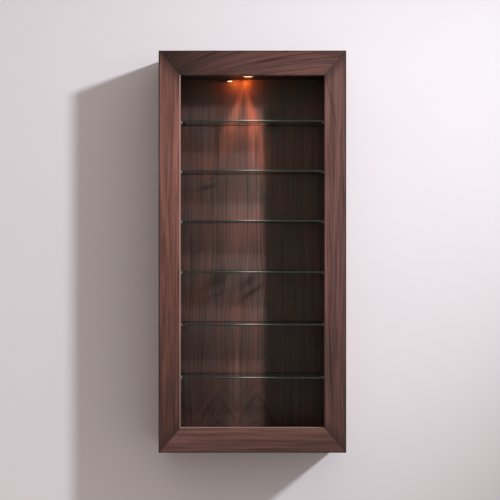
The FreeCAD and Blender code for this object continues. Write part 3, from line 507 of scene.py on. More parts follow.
@dataclass(frozen=True)
class Walnut:
    """Oiled walnut with bands, streaks, threads and open pores."""

    name: str
    grain: Grain
    seed: float
    dark: Colour = (0.055, 0.023, 0.019)
    light: Colour = (0.27, 0.117, 0.093)
    fade: Span = (1.0, 1.0)
    contrast: float = 1.2
    wander: float = 0.05
    sweep: float = 0.0
    marks: Tuple[Mark, ...] = ()
    edge: Optional[FrameEdge] = None
    pore: Colour = (0.03, 0.014, 0.011)
    cooler: Colour = (0.78, 0.98, 1.08)
    warp: Layer = Layer(5.0, 1.7, 0.0)
    bands: Layer = Layer(75.0, 1.5, 3.0, rough=0.6, span=(0.36, 0.64))
    streak: Layer = Layer(210.0, 5.5, 11.0, rough=0.6, span=(0.36, 0.64))
    thread: Layer = Layer(520.0, 11.0, 5.0, rough=0.6, span=SOFT)
    tone: Layer = Layer(9.0, 4.0, 7.0, detail=1.0, span=SOFT)
    cool: Layer = Layer(140.0, 5.0, 23.0, detail=1.0, span=(0.45, 0.75))
    fibre: Layer = Layer(1700.0, 28.0, 13.0, detail=1.0)
    pores: Layer = Layer(1100.0, 34.0, 17.0, detail=1.0, span=(0.62, 0.74))
    shares: Tuple[float, ...] = (0.3, 0.38, 0.16, 0.16)
    cool_share: float = 0.55
    pore_share: float = 0.4
    sweep_rate: float = -3.0
    fade_length: Span = (0.0, 0.75)
    roughness: float = 0.42
    relief: float = 0.12
    thread_height: float = 0.3

    def material(self) -> bpy.types.Material:
        """Builds the finish.

        Returns:
            The finished material.
        """
        shader = Shader(self.name)
        place = shader.split("Object")
        along, across, (start, stop) = self.grain.lay(place)
        share = ((along - start) / (stop - start)).clamp()
        if self.sweep:
            across = across + (share * self.sweep_rate).exp() * self.sweep
        ring = across + self.warp.draw(shader, across, along, self.seed).swing(self.wander)
        bands, streak, thread, cool, fibre, pores = (
            layer.draw(shader, ring, along, self.seed)
            for layer in (self.bands, self.streak, self.thread, self.cool, self.fibre, self.pores)
        )
        tone = self.tone.draw(shader, across, along, self.seed)
        figure = (bands, streak, thread, tone)
        level = total(layer * weight for layer, weight in zip(figure, self.shares))
        colour = shader.mix((level.swing(self.contrast) + HALF).clamp(), self.dark, self.light)
        colour = shader.mix(cool * self.cool_share, colour, self.grey())
        fade = share.step(*self.fade_length).between(*self.fade)
        colour = shader.mix(1.0, colour, fade, "MULTIPLY")
        colour = shader.mix(pores * self.pore_share, colour, self.pore)
        for mark in self.marks:
            colour = shader.mix(mark.shade(place[0], place[2] - LOW.z), colour, self.pore)
        if self.edge:
            colour = self.edge.shade(shader, place, colour, self.pore)
        height = fibre * FIBRE_HEIGHT - pores + thread * self.thread_height
        normal = shader.bump(height, self.relief, WOOD_DEPTH)
        return shader.oiled(colour, self.roughness, thread, pores, normal)

    def grey(self) -> Colour:
        """The cooler tone between the dark and the light one."""
        return tuple((a + b) / 2 * share for a, b, share in zip(self.dark, self.light, self.cooler))


@dataclass(frozen=True)
class Veneer:
    """Book-matched walnut veneer, mirrored about a seam, with arches at its foot, dark knots, and painted
    light and shade.
    """

    name: str
    seam: float = -0.0356
    dark: Colour = (0.0245, 0.013, 0.0106)
    light: Colour = (0.154, 0.076, 0.062)
    red: Colour = (1.12, 0.94, 0.9)
    cool: Colour = (0.92, 1.03, 1.05)
    knot: Colour = (0.02, 0.013, 0.0095)
    heart: Colour = (0.17, 0.07, 0.055)
    # Tints of the painted shadow on the right and of the painted shade at the top.
    shadow_tint: Colour = (0.81, 0.93, 0.77)
    shaded: Colour = (0.72, 0.88, 0.68)
    backing: Tuple[Colour, Colour] = ((0.05, 0.028, 0.02), (0.15, 0.085, 0.06))
    marks: Tuple[Mark, ...] = (
        Mark((-0.083, 0.384), (0.032, 0.016), 0.85, 0.9),
        Mark((-0.0797, 0.351), (0.026, 0.006), 0.5, 0.5),
        Mark((-0.0077, 0.381), (0.024, 0.012), 0.8, 0.8),
        Mark((-0.0008, 0.356), (0.032, 0.007), 0.75, 0.9),
        Mark((-0.1064, 0.599), (0.024, 0.006), 0.33, 0.85),
        Mark((-0.092, 0.62), (0.014, 0.004), 0.4, 0.45),
    )
    wave: Layer = Layer(6.0, 2.2, 2.0)
    arches: Layer = Layer(62.0, 2.0, 4.0, rough=0.55, span=(0.38, 0.64))
    streak: Layer = Layer(230.0, 4.0, 9.0, rough=0.6, span=(0.34, 0.66))
    thread: Layer = Layer(480.0, 8.0, 3.0, detail=1.0, span=SOFT)
    bands: Layer = Layer(60.0, 1.2, 5.0, span=(0.32, 0.68))
    tone: Layer = Layer(16.0, 5.0, 12.0, span=SOFT)
    patch: Layer = Layer(18.0, 11.0, 31.0, span=(0.38, 0.62))
    fibre: Layer = Layer(1500.0, 22.0, 6.0, detail=1.0)
    pores: Layer = Layer(1000.0, 26.0, 8.0, detail=1.0, span=(0.62, 0.74))
    shares: Tuple[float, ...] = (0.34, 0.24, 0.2, 0.22)
    pore_share: float = 0.35
    wander: float = 0.022
    # The swirls round the knots: their distance from the seam, their height, their size and their pull.
    swirl_off: float = 0.042
    swirl_up: float = 0.385
    swirl_half: Span = (0.03, 0.05)
    swirl_pull: float = 0.6
    # The arches at the foot: where they end above and beside, their tips, slope and share.
    arch_top: Span = (0.08, 0.2)
    arch_side: Span = (0.035, 0.06)
    arch_tip: float = 0.044
    tip_radius: float = 0.003
    arch_slope: float = 1.5
    arch_share: float = 0.38
    # The stretch beside the lamps, where the figure is quieter.
    lamp_up: Span = (0.76, 0.8)
    lamp_level: float = 0.52
    lamp_share: float = 0.65
    # The painted shadow on the right-hand part: where it starts, lower down and beside the lamps, and how
    # its tone runs.
    shadow_edge: Span = (0.02, 0.036)
    shadow_edge_lamp: Span = (-0.005, 0.085)
    shadow_level_at: float = 0.09
    shadow_slope: float = 3.6
    # Painted light and shade on the left part: its plain tone, a little paler low down, painted pools of
    # light about the middle and beside the seam, a painted highlight beside the painted shadow's edge, and
    # the whole panel darker towards its foot.
    plain_lift: float = 0.72
    low_up: Span = (0.6, 0.66)
    low_lift: float = 0.06
    middle: Span = (-0.01, 0.06)
    middle_lift: float = 0.67
    beside_seam: Span = (-0.04, 0.012)
    beside_seam_lift: float = 0.5
    beside_shadow: Span = (0.008, 0.013)
    beside_shadow_lift: Span = (0.12, 0.57)
    waist_up: Span = (0.42, 0.56)
    foot_up: Span = (0.2, 0.38)
    foot_lift: Span = (0.66, 1.0)
    # The shaded top, and the gap that the lamps leave in it.
    top_up: Span = (0.782, 0.802)
    top_gap: Span = (-0.022, 0.045)
    # The pale stripe along the seam.
    stripe_at: Span = (0.001, 0.003)
    stripe_top: Span = (0.3, 0.47)
    stripe_foot: Span = (0.1, 0.2)
    stripe_share: Span = (0.3, 0.7)
    rear_turn: Span = (0.5, 0.9)
    roughness: float = 0.44
    relief: float = 0.1

    def material(self) -> bpy.types.Material:
        """Builds the finish.

        Returns:
            The finished material.
        """
        shader = Shader(self.name)
        x, _, z = shader.split("Object")
        height = z - LOW.z
        across = abs(x - self.seam)
        bent = self.bend(shader, across, height)
        streak, thread, bands, tone, patch = (
            layer.draw(shader, bent, height)
            for layer in (self.streak, self.thread, self.bands, self.tone, self.patch)
        )
        fibre = self.fibre.draw(shader, across, height)
        pores = self.pores.draw(shader, across, height)
        plain = total(layer * weight for layer, weight in zip((streak, thread, bands, tone), self.shares))
        lamplit = height.step(*self.lamp_up)
        level = self.arched(shader, plain, bent, across, height)
        level = level + (self.lamp_level - level) * lamplit * self.lamp_share
        colour = shader.mix(level.clamp(), self.dark, self.light)
        # Where the painted shadow on the right lies: a sharp edge lower down, a soft one beside the lamps.
        shadowed = x.step(*self.shadow_edge) * (1.0 - lamplit) + x.step(*self.shadow_edge_lamp) * lamplit
        # Painted light and shade: the panel's tone is lifted and lowered from place to place.
        colour = shader.mix(1.0, colour, self.lift(x, height, lamplit, shadowed), "MULTIPLY")
        colour = shader.mix(1.0, colour, shader.mix(patch, self.cool, self.red), "MULTIPLY")
        # Painted shadow: the right-hand part tinted as in shade.
        colour = shader.mix(shadowed, colour, self.shadow_tint, "MULTIPLY")
        top = height.step(*self.top_up) * (1.0 - x.bell(*self.top_gap))
        colour = shader.mix(top, colour, self.shaded, "MULTIPLY")
        colour = shader.mix(self.stripe(x, height), colour, self.heart)
        dark = total(mark.shade(x, height) for mark in self.marks)
        colour = shader.mix(dark.clamp(), colour, self.knot)
        colour = shader.mix(pores * self.pore_share, colour, self.knot)
        rear = shader.split("Normal")[1].step(*self.rear_turn)
        colour = shader.mix(rear, colour, shader.mix(plain, *self.backing))
        normal = shader.bump(fibre * FIBRE_HEIGHT - pores, self.relief, WOOD_DEPTH)
        return shader.oiled(colour, self.roughness, thread, pores, normal)

    def bend(self, shader: Shader, across: Value, height: Value) -> Value:
        """Bends the figure round the knots.

        Args:
            shader: where the nodes go.
            across: the distance from the seam.
            height: the place above the cabinet's foot.

        Returns:
            The distance that the figure is looked up at.
        """
        half_wide, half_high = self.swirl_half
        swirl = across.bell(self.swirl_off, half_wide) * height.bell(self.swirl_up, half_high)
        wave = self.wave.draw(shader, across, height)
        return across - (across - self.swirl_off) * swirl * self.swirl_pull + wave.swing(self.wander)

    def arched(self, shader: Shader, plain: Value, bent: Value, across: Value, height: Value) -> Value:
        """Mixes arches into the figure at the panel's foot.

        Args:
            shader: where the nodes go.
            plain: the figure without them.
            bent: the distance from the seam, as the figure takes it.
            across: the distance from the seam.
            height: the place above the cabinet's foot.

        Returns:
            The figure with its arches.
        """
        foot = height.fall(*self.arch_top) * abs(across - self.swirl_off).fall(*self.arch_side)
        reach = bent - self.arch_tip
        slope = (reach * reach + self.tip_radius ** 2).root() * self.arch_slope
        arches = self.arches.draw(shader, height + slope, across)
        share = foot * self.arch_share
        return plain * (1.0 - share) + arches * share

    def lift(self, x: Value, height: Value, lamplit: Value, shadowed: Value) -> Value:
        """The painted light and shade on the panel, from place to place.

        Args:
            x: the place from left to right.
            height: the place above the cabinet's foot.
            lamplit: one beside the lamps.
            shadowed: one in the painted shadow on the right.

        Returns:
            What the colour is multiplied by.
        """
        left = 1.0 - shadowed
        base = shadowed * (x - self.shadow_level_at) * self.shadow_slope + self.plain_lift
        base = base + left * height.fall(*self.low_up) * self.low_lift
        waist = height.step(*self.waist_up)
        middle = x.bell(*self.middle) * self.middle_lift
        middle = middle + x.bell(*self.beside_seam) * (1.0 - waist) * self.beside_seam_lift
        edge = x.bell(*self.beside_shadow) * waist.between(*self.beside_shadow_lift)
        middle = middle + edge * (1.0 - lamplit)
        return (base + middle * left) * height.step(*self.foot_up).between(*self.foot_lift)

    def stripe(self, x: Value, height: Value) -> Value:
        """How strong the pale stripe along the seam is at a place.

        Args:
            x: the place from left to right.
            height: the place above the cabinet's foot.

        Returns:
            A share from nought to one.
        """
        share = height.step(*self.stripe_foot).between(*self.stripe_share)
        return (x - self.seam).bell(*self.stripe_at) * height.fall(*self.stripe_top) * share


@dataclass(frozen=True)
class PaleTimber:
    """Planed pale wood for the inner pieces and the hanging rails."""

    name: str
    grain: Grain
    dark: Colour = (0.3, 0.19, 0.1)
    light: Colour = (0.5, 0.36, 0.21)
    warp: Layer = Layer(6.0, 2.0, 1.0)
    bands: Layer = Layer(110.0, 1.5, 2.0, detail=3.0, rough=0.6, span=SOFT)
    fibre: Layer = Layer(1300.0, 20.0, 3.0, detail=1.0)
    wander: float = 0.036364
    band_share: float = 0.7
    fibre_share: float = 0.3
    roughness: Span = (0.55, 0.75)
    relief: Span = (0.15, 0.0003)

    def material(self) -> bpy.types.Material:
        """Builds the finish.

        Returns:
            The finished material.
        """
        shader = Shader(self.name)
        along, across, _ = self.grain.lay(shader.split("Object"))
        warp = self.warp.draw(shader, across, along)
        bands = self.bands.draw(shader, across + warp * self.wander, along)
        fibre = self.fibre.draw(shader, across, along)
        level = (bands * self.band_share + fibre * self.fibre_share).clamp()
        return shader.close(shader.surface(
            Base_Color=shader.mix(level, self.dark, self.light),
            Roughness=fibre.between(*self.roughness).clamp(),
            Normal=shader.bump(fibre, *self.relief),
        ))


@dataclass(frozen=True)
class ShelfGlass:
    """Float glass with dark green edges, a painted highlight in the upper half of the front edge, and
    painted shade on its faces, darkest towards the back.
    """

    name: str
    node: str
    glint: float
    face: Colour = (0.86, 0.93, 0.89)
    edge: Colour = (0.021, 0.027, 0.022)
    # The colour of the painted shade on the faces, also smudged onto the edges.
    smudge_and_shade: Colour = (0.008, 0.012, 0.01)
    # The colours of the painted highlight on the front edge: green at the sides, pale in the middle.
    ground: Colour = (0.8, 0.76, 0.64)
    green: Colour = (0.1, 0.27, 0.2)
    shade: Colour = (0.56, 0.59, 0.57)
    index: float = 1.5
    smears: float = 60.0
    face_smear: float = 0.02
    glint_roughness: Span = (0.3, 0.5)
    edge_roughness: Span = (0.06, 0.12)
    painted_shade_roughness: float = 0.5
    edge_turn: Span = (0.5, 0.95)
    edge_film: float = 0.4
    # The painted highlight on the front edge: on forward faces, in the upper half, pale about the middle,
    # strongest about the middle with a weaker one to the left.
    front_turn: Span = (0.5, 0.9)
    upper_half: Span = (0.45, 0.7)
    pale_at: Span = (-0.002, 0.03)
    glint_at: Span = (-0.003, 0.045)
    left_glint_at: Span = (-0.06, 0.04)
    left_glint: float = 0.2
    # The painted shade on the faces: how it grows at grazing angles, and towards the back.
    slant_blend: float = 0.5
    painted_shade_slant: Span = (0.7, 1.0)
    painted_shade_share: Span = (0.24, 0.94)
    rear_from: Span = (-0.06, -0.052)

    def material(self) -> bpy.types.Material:
        """Builds the finish.

        Returns:
            The finished material.
        """
        shader = Shader(self.name)
        low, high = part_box(self.node)
        _, forward, up = shader.split("Normal")
        x, y, z = shader.split("Object")
        smear = shader.specks(self.smears)
        clear = shader.surface(
            Base_Color=self.face,
            Roughness=(smear * self.face_smear).clamp(),
            Transmission_Weight=1.0,
            IOR=self.index,
        )
        # Painted highlight: a pale matt surface for the light that the front edge shows.
        frost = shader.surface(
            Base_Color=shader.mix(x.bell(*self.pale_at), self.green, self.ground),
            Roughness=smear.between(*self.glint_roughness).clamp(),
        )
        deep = shader.surface(
            Base_Color=shader.mix(smear.step(*SOFT) * self.edge_film, self.edge, self.smudge_and_shade),
            Roughness=smear.between(*self.edge_roughness).clamp(),
        )
        # Painted shade: a dark matt surface on the faces, at grazing angles and most towards the back, for
        # the dark band under the shelf and its dark rear line.
        smudge_and_shade = shader.surface(
            Base_Color=self.smudge_and_shade,
            Roughness=self.painted_shade_roughness,
            Specular_IOR_Level=0.0,
        )
        layer = shader.add("ShaderNodeLayerWeight", None, {"Blend": self.slant_blend})
        slant = Value(shader, layer.outputs["Facing"]).step(*self.painted_shade_slant)
        rear = y.step(*self.rear_from).between(*self.painted_shade_share)
        body = shader.blend(slant * rear, clear, smudge_and_shade)
        body = shader.blend(abs(up).fall(*self.edge_turn), body, deep)
        upper = ((z - low.z) / (high.z - low.z)).step(*self.upper_half)
        glint_spread = (x.bell(*self.glint_at) + x.bell(*self.left_glint_at) * self.left_glint) * self.glint
        body = shader.blend((-forward).step(*self.front_turn) * upper * glint_spread, body, frost)
        through = shader.add("ShaderNodeBsdfTransparent", None, {0: shader.rgba(self.shade)}).outputs[0]
        return shader.close(shader.blend(shader.rays("Shadow"), body, through))


class Polish(Enum):
    """How a metal is worked, as specks to a metre along X, Y and Z."""

    PLAIN = (500.0, 500.0, 500.0)
    BRUSHED = (300.0, 300.0, 4000.0)


@dataclass(frozen=True)
class Metal:
    """Plated or brushed metal with fine wear."""

    name: str
    colour: Colour
    roughness: float
    polish: Polish = Polish.PLAIN
    worn: Span = (0.35, 0.75)
    worn_share: float = 0.5
    worn_tone: float = 0.72
    worn_roughness: float = 0.15

    def material(self) -> bpy.types.Material:
        """Builds the finish.

        Returns:
            The finished material.
        """
        shader = Shader(self.name)
        wear = shader.specks(self.polish.value, WEAR_DETAIL)
        worn = wear.step(*self.worn) * self.worn_share
        return shader.close(shader.surface(
            Base_Color=shader.mix(worn, self.colour, dimmed(self.colour, self.worn_tone)),
            Roughness=(self.roughness + wear.swing(self.worn_roughness)).clamp(),
            Metallic=1.0,
            Normal=shader.bump(wear, *WEAR_RELIEF),
        ))


@dataclass(frozen=True)
class SupportNickel:
    """Dull dark nickel, with a painted highlight on the front of the stops beside the glass, dimmed by
    painted shade on the right-hand ones.
    """

    name: str
    dull: Colour = (0.035, 0.033, 0.03)
    bright: Colour = (0.98, 0.94, 0.9)
    stop_edge: float = 0.0005
    stop_depth: float = 0.01
    front_turn: Span = (0.6, 0.9)
    # Painted shade: how far the right-hand stops are dimmed.
    right_side: Span = (0.0, 0.01)
    right_loss: float = 0.6
    worn_share: float = 0.05
    roughness: float = 0.32
    worn_roughness: float = 0.2

    def material(self) -> bpy.types.Material:
        """Builds the finish.

        Returns:
            The finished material.
        """
        shader = Shader(self.name)
        x, y, _ = shader.split("Object")
        wear = shader.specks(Polish.PLAIN.value, WEAR_DETAIL)
        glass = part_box("glass_shelf_1")[1].x
        middle = middle_of("shelf_pins").y
        stop = abs(x).step(glass, glass + self.stop_edge) * y.fall(middle - self.stop_depth, middle)
        # Painted highlight: the front faces of the stops are made bright.
        painted_highlight = (-shader.split("Normal")[1]).step(*self.front_turn) * stop
        # Painted shade: the right-hand stops are dimmed.
        painted_highlight = painted_highlight * (1.0 - x.step(*self.right_side) * self.right_loss)
        return shader.close(shader.surface(
            Base_Color=shader.mix((painted_highlight + wear.swing(self.worn_share)).clamp(), self.dull, self.bright),
            Roughness=(self.roughness + wear.swing(self.worn_roughness)).clamp(),
            Metallic=1.0,
            Normal=shader.bump(wear, *WEAR_RELIEF),
        ))


@dataclass(frozen=True)
class Moulded:
    """Moulded plastic or rubber with a fine grain."""

    name: str
    colour: Colour
    roughness: float
    grain: float = 2500.0
    clouds: float = 60.0
    cloud_tone: float = 0.82
    grain_roughness: float = 0.2
    relief: Span = (0.15, 0.0001)

    def material(self) -> bpy.types.Material:
        """Builds the finish.

        Returns:
            The finished material.
        """
        shader = Shader(self.name)
        grain = shader.specks(self.grain)
        cloud = shader.specks(self.clouds).step(*SOFT)
        return shader.close(shader.surface(
            Base_Color=shader.mix(cloud, dimmed(self.colour, self.cloud_tone), self.colour),
            Roughness=(self.roughness + grain.swing(self.grain_roughness)).clamp(),
            Normal=shader.bump(grain, *self.relief),
        ))


@dataclass(frozen=True)
class SmokyPad:
    """Smoky soft silicone, slightly cloudy."""

    name: str
    colour: Colour = (0.1, 0.11, 0.105)
    clouds: float = 400.0
    cloud_tone: float = 0.85
    roughness: Span = (0.12, 0.27)
    clear_share: float = 0.92
    index: float = 1.41

    def material(self) -> bpy.types.Material:
        """Builds the finish.

        Returns:
            The finished material.
        """
        shader = Shader(self.name)
        cloud = shader.specks(self.clouds)
        return shader.close(shader.surface(
            Base_Color=shader.mix(cloud.step(*SOFT), dimmed(self.colour, self.cloud_tone), self.colour),
            Roughness=cloud.between(*self.roughness).clamp(),
            Transmission_Weight=self.clear_share,
            IOR=self.index,
        ))


@dataclass(frozen=True)
class LitLens:
    """A frosted window with the light behind it, brightest in its middle."""

    name: str
    node: str
    body: Colour = (0.8, 0.7, 0.55)
    core: Colour = (1.0, 0.76, 0.4)
    rim: Colour = (0.35, 0.09, 0.015)
    rim_from: Span = (0.55, 1.0)
    strength: float = 2.4
    frost: float = 2000.0
    frost_share: float = 0.2
    roughness: Span = (0.4, 0.6)

    def material(self) -> bpy.types.Material:
        """Builds the finish.

        Returns:
            The finished material.
        """
        shader = Shader(self.name)
        low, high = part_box(self.node)
        x, y, _ = shader.split("Object")
        right = x - (low.x + high.x) / 2
        back = y - (low.y + high.y) / 2
        share = (right * right + back * back).root() / ((high.x - low.x) / 2)
        frost = shader.specks(self.frost)
        rim = (share + frost.swing(self.frost_share)).step(*self.rim_from)
        return shader.close(shader.surface(
            Base_Color=self.body,
            Roughness=frost.between(*self.roughness).clamp(),
            Emission_Color=shader.mix(rim, self.core, self.rim),
            Emission_Strength=self.strength,
        ))


def dress(material: bpy.types.Material, *names: str) -> None:
    """Gives CAD nodes a finish.

    Args:
        material: the finish.
        names: the nodes that take it.
    """
    for name in names:
        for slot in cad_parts[name].material_slots:
            slot.material = material
        LOG.info("dressed %s in %s", name, material.name)


def middle_of(node: str) -> Vector:
    """The middle of a CAD node's box."""
    low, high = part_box(node)
    return (low + high) / 2


@dataclass
class FrontFrame:
    """The four mitred members round the opening, and their tongues and dowels."""

    # The painted highlights: on the sight edges of the stiles, stronger on the left, and on the bottom
    # rail's inner face; none on the top rail.
    left_stile: Walnut = Walnut(
        "walnut_left_stile", Grain.UP, seed=1.0,
        dark=(0.075, 0.028, 0.021), light=(0.32, 0.128, 0.1),
        fade=(0.37, 1.02), contrast=1.3, wander=0.024,
        edge=FrameEdge(highlight_share=0.62, mitre=0.7),
    )
    right_stile: Walnut = Walnut(
        "walnut_right_stile", Grain.UP, seed=5.3,
        dark=(0.052, 0.022, 0.018), light=(0.24, 0.107, 0.087),
        fade=(0.56, 0.92), contrast=1.4, wander=0.04,
        marks=(Mark((0.1757, 0.789), (0.06, 0.0022), -5.0, 0.6),),
        edge=FrameEdge(highlight_share=0.3, mitre=0.7, across=(0.74, 1.3)),
    )
    top_rail: Walnut = Walnut(
        "walnut_top_rail", Grain.ACROSS, seed=9.1,
        dark=(0.032, 0.0135, 0.0115), light=(0.205, 0.083, 0.068),
        fade=(0.23, 1.2), sweep=0.12,
        edge=FrameEdge(mitre=0.15),
    )
    bottom_rail: Walnut = Walnut(
        "walnut_bottom_rail", Grain.ACROSS, seed=14.7,
        dark=(0.052, 0.022, 0.018), light=(0.22, 0.098, 0.08),
        fade=(0.93, 0.8), contrast=1.05, wander=0.03,
        edge=FrameEdge(inner_highlight=0.85, across=(0.84, 1.16)),
    )

    def build(self) -> None:
        """Dresses each member with its grain along its length."""
        dress(self.left_stile.material(), "frame_left_stile")
        dress(self.right_stile.material(), "frame_right_stile")
        dress(self.top_rail.material(), "frame_top_rail")
        dress(self.bottom_rail.material(), "frame_bottom_rail")
        dress(PaleTimber("beech_tongue", Grain.ACROSS).material(), "mitre_splines")
        dress(PaleTimber("beech_dowel", Grain.UP).material(), "frame_dowels")


@dataclass
class OuterBox:
    """The boards of the box, mitred at their corners."""

    side_seed: float = 21.0
    end_seed: float = 27.0

    def build(self) -> None:
        """Dresses the boards so that the grain runs round the box."""
        sides = Walnut("walnut_sides", Grain.UP, self.side_seed)
        ends = Walnut("walnut_ends", Grain.ACROSS, self.end_seed)
        dress(sides.material(), "left_side_board", "right_side_board")
        dress(ends.material(), "top_board", "bottom_board")
        dress(PaleTimber("beech_corner_tongue", Grain.UP).material(), "corner_splines")


@dataclass
class DisplaySpace:
    """The back panel, the inner walls and the ceiling board."""

    panel: Veneer = Veneer("walnut_veneer")
    liner: Walnut = Walnut(
        "walnut_liner", Grain.UP, seed=33.0, dark=(0.04, 0.02, 0.016), light=(0.13, 0.062, 0.048),
    )
    # The ceiling board's walnut is made nearly black, as painted shade.
    ceiling: Walnut = Walnut(
        "walnut_ceiling", Grain.ACROSS, seed=41.0, dark=(0.008, 0.0055, 0.004), light=(0.027, 0.017, 0.012),
    )

    def build(self) -> None:
        """Dresses the surfaces round the shelves."""
        dress(self.panel.material(), "back_panel")
        dress(self.liner.material(), "left_liner", "right_liner")
        dress(self.ceiling.material(), "light_panel")
        batten = PaleTimber("softwood_batten", Grain.UP)
        dress(batten.material(), "left_liner_battens", "right_liner_battens")
        dress(PaleTimber("beech_panel_dowel", Grain.UP).material(), "panel_dowels")


@dataclass
class Shelves:
    """The glass shelves on their supports."""

    count: int = 6
    # The strength of the painted highlight on each front edge, strongest on the top shelf.
    top_glint: float = 0.95
    glint: float = 0.6

    def build(self) -> None:
        """Dresses the glass, the supports and the pads."""
        for number in range(1, self.count + 1):
            node = f"glass_shelf_{number}"
            glint = self.top_glint if number == 1 else self.glint
            dress(ShelfGlass(f"float_glass_{number}", node, glint).material(), node)
        dress(SupportNickel("support_nickel").material(), "shelf_pins")
        dress(SmokyPad("smoky_silicone").material(), "shelf_pads")


class Beam(Enum):
    """What a lamp's light does on the back panel."""

    GLOW = "glow"
    FAN = "fan"


@dataclass
class Lamps:
    """The two lamps in the ceiling board, and their light on the back panel."""

    bronze: Colour = (0.09, 0.07, 0.055)
    alloy: Colour = (0.6, 0.6, 0.61)
    white: Colour = (0.78, 0.8, 0.77)
    steel: Colour = (0.55, 0.55, 0.54)
    front_watts: float = 0.095
    rear_watts: float = 0.06
    fan_watts: float = 0.064
    # Where each light stands, as a share of the way from the front lamp to the rear one.
    front_share: float = 0.125
    rear_share: float = 0.75
    fan_share: float = 0.2
    glow: Colour = (1.0, 0.22, 0.025)
    ray: Colour = (1.0, 0.42, 0.22)
    fan_off: float = 0.022
    glow_off: float = 0.026
    source_radius: float = 0.003
    # Both kinds: only towards the panel, not up to the left, and less upwards.
    behind: Span = (-0.05, 0.1)
    level_up: Span = (0.0, 0.08)
    far_left: Span = (0.1, 0.4)
    steep_up: Span = (0.15, 0.4)
    steep_loss: float = 0.8
    # The glows: less to the right.
    far_right: Span = (0.3, 0.7)
    right_loss: float = 0.4
    # The fan: two rays, each by its lean and width, that start below the lamps, fade far down,
    # and are stronger where a shelf takes part of them.
    left_ray: Span = (-0.3, 0.14)
    right_ray: Span = (0.21, 0.15)
    left_share: float = 0.75
    ray_gain: float = 6.0
    least_down: float = 0.02
    below: Span = (0.0, 0.1)
    ray_end: Span = (0.05, 0.16)
    ray_start: Span = (0.2, 0.6)
    start_loss: float = 0.8
    under_shelf: Span = (0.16, 0.215)
    under_gain: float = 1.9
    ray_spread: float = 0.12
    ray_power: float = 2.5

    def build(self) -> None:
        """Dresses both lamps and adds their light."""
        for lamp in ("front_lamp", "rear_lamp"):
            dress(LitLens(f"{lamp}_frosted_lens", f"{lamp}_lens").material(), f"{lamp}_lens")
        bronze = Metal("dark_bronze_bezel", self.bronze, roughness=0.38, polish=Polish.BRUSHED)
        dress(bronze.material(), "front_lamp_bezel", "rear_lamp_bezel")
        alloy = Metal("turned_alloy", self.alloy, roughness=0.4, polish=Polish.BRUSHED)
        dress(alloy.material(), "front_lamp_housing", "rear_lamp_housing")
        board = Moulded("white_board", self.white, roughness=0.5)
        dress(board.material(), "front_lamp_board", "rear_lamp_board")
        dress(Metal("spring_steel", self.steel, roughness=0.3).material(), "lamp_clips")
        self.light("front_lamp_glow", self.front_share, self.front_watts, Beam.GLOW)
        self.light("rear_lamp_glow", self.rear_share, self.rear_watts, Beam.GLOW)
        self.light("lamp_fan", self.fan_share, self.fan_watts, Beam.FAN)

    def light(self, name: str, share: float, watts: float, beam: Beam) -> None:
        """Adds warm light at the top of the back panel.

        Args:
            name: what the light is called.
            share: its place, as a share of the way from the front lamp to the rear one.
            watts: how strong it is.
            beam: whether it is a glow or a fan of two rays that run down the panel.
        """
        fan = beam is Beam.FAN
        data = bpy.data.lights.new(name, "POINT")
        data.energy = watts
        data.shadow_soft_size = self.source_radius
        data.use_nodes = True
        nodes = Nodes(data.node_tree)
        strength = self.strength(nodes.split("Normal"), beam)
        colour = nodes.rgba(self.ray if fan else self.glow)
        emission = nodes.add("ShaderNodeEmission", None, {"Color": colour, "Strength": strength})
        nodes.add("ShaderNodeOutputLight", None, {0: emission.outputs[0]})
        light = bpy.data.objects.new(name, data)
        bpy.context.scene.collection.objects.link(light)
        front, rear = (middle_of(f"{lamp}_lens").x for lamp in ("front_lamp", "rear_lamp"))
        across = front * (1.0 - share) + rear * share
        off = self.fan_off if fan else self.glow_off
        light.location = (across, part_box("back_panel")[0].y - off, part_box("rear_lamp_lens")[0].z)
        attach(light, "cabinet")

    def strength(self, direction: Place, beam: Beam) -> Value:
        """How strong the light is in a direction.

        Args:
            direction: to the right, back to the panel, and up.
            beam: whether it is a glow or a fan.

        Returns:
            The share of the light.
        """
        right, back, up = direction
        strength = back.step(*self.behind) * (1.0 - up.step(*self.level_up) * (-right).step(*self.far_left))
        strength = strength * (1.0 - up.step(*self.steep_up) * self.steep_loss)
        if beam is Beam.GLOW:
            return strength * (1.0 - right.step(*self.far_right) * self.right_loss)
        down = (-up).most(self.least_down)
        lean = right / down
        slope = (back / down).most(0.0)
        rays = lean.bell(*self.left_ray) * self.left_share + lean.bell(*self.right_ray)
        reach = slope.step(*self.ray_end) * (1.0 - slope.step(*self.ray_start) * self.start_loss)
        reach = reach * (-up).step(*self.below)
        reach = reach * slope.step(*self.under_shelf).between(self.under_gain, 1.0)
        return strength * rays * (1.0 / (slope + self.ray_spread)) ** self.ray_power * reach * self.ray_gain


@dataclass
class Supply:
    """The low-voltage supply and its leads, in the space above the ceiling board."""

    white: Colour = (0.74, 0.74, 0.72)
    black: Colour = (0.025, 0.025, 0.025)
    zinc: Colour = (0.62, 0.62, 0.6)
    brass: Colour = (0.75, 0.58, 0.28)

    def build(self) -> None:
        """Dresses the supply, its fittings and its leads."""
        dress(Moulded("white_case", self.white, roughness=0.5).material(), "driver_case", "driver_lid")
        dress(Metal("zinc_screw", self.zinc, roughness=0.3).material(), "driver_screws")
        terminal = Moulded("black_terminal", self.black, roughness=0.45)
        dress(terminal.material(), "output_block", "mains_inlet")
        dress(Metal("brass_pin", self.brass, roughness=0.25).material(), "inlet_pins")
        sheath = Moulded("black_sheath", self.black, roughness=0.5)
        dress(sheath.material(), "front_lamp_lead", "rear_lamp_lead")
        dress(Moulded("white_saddle", self.white, roughness=0.5).material(), "lead_clips")
        dress(Moulded("black_grommet", self.black, roughness=0.6).material(), "cord_grommet")


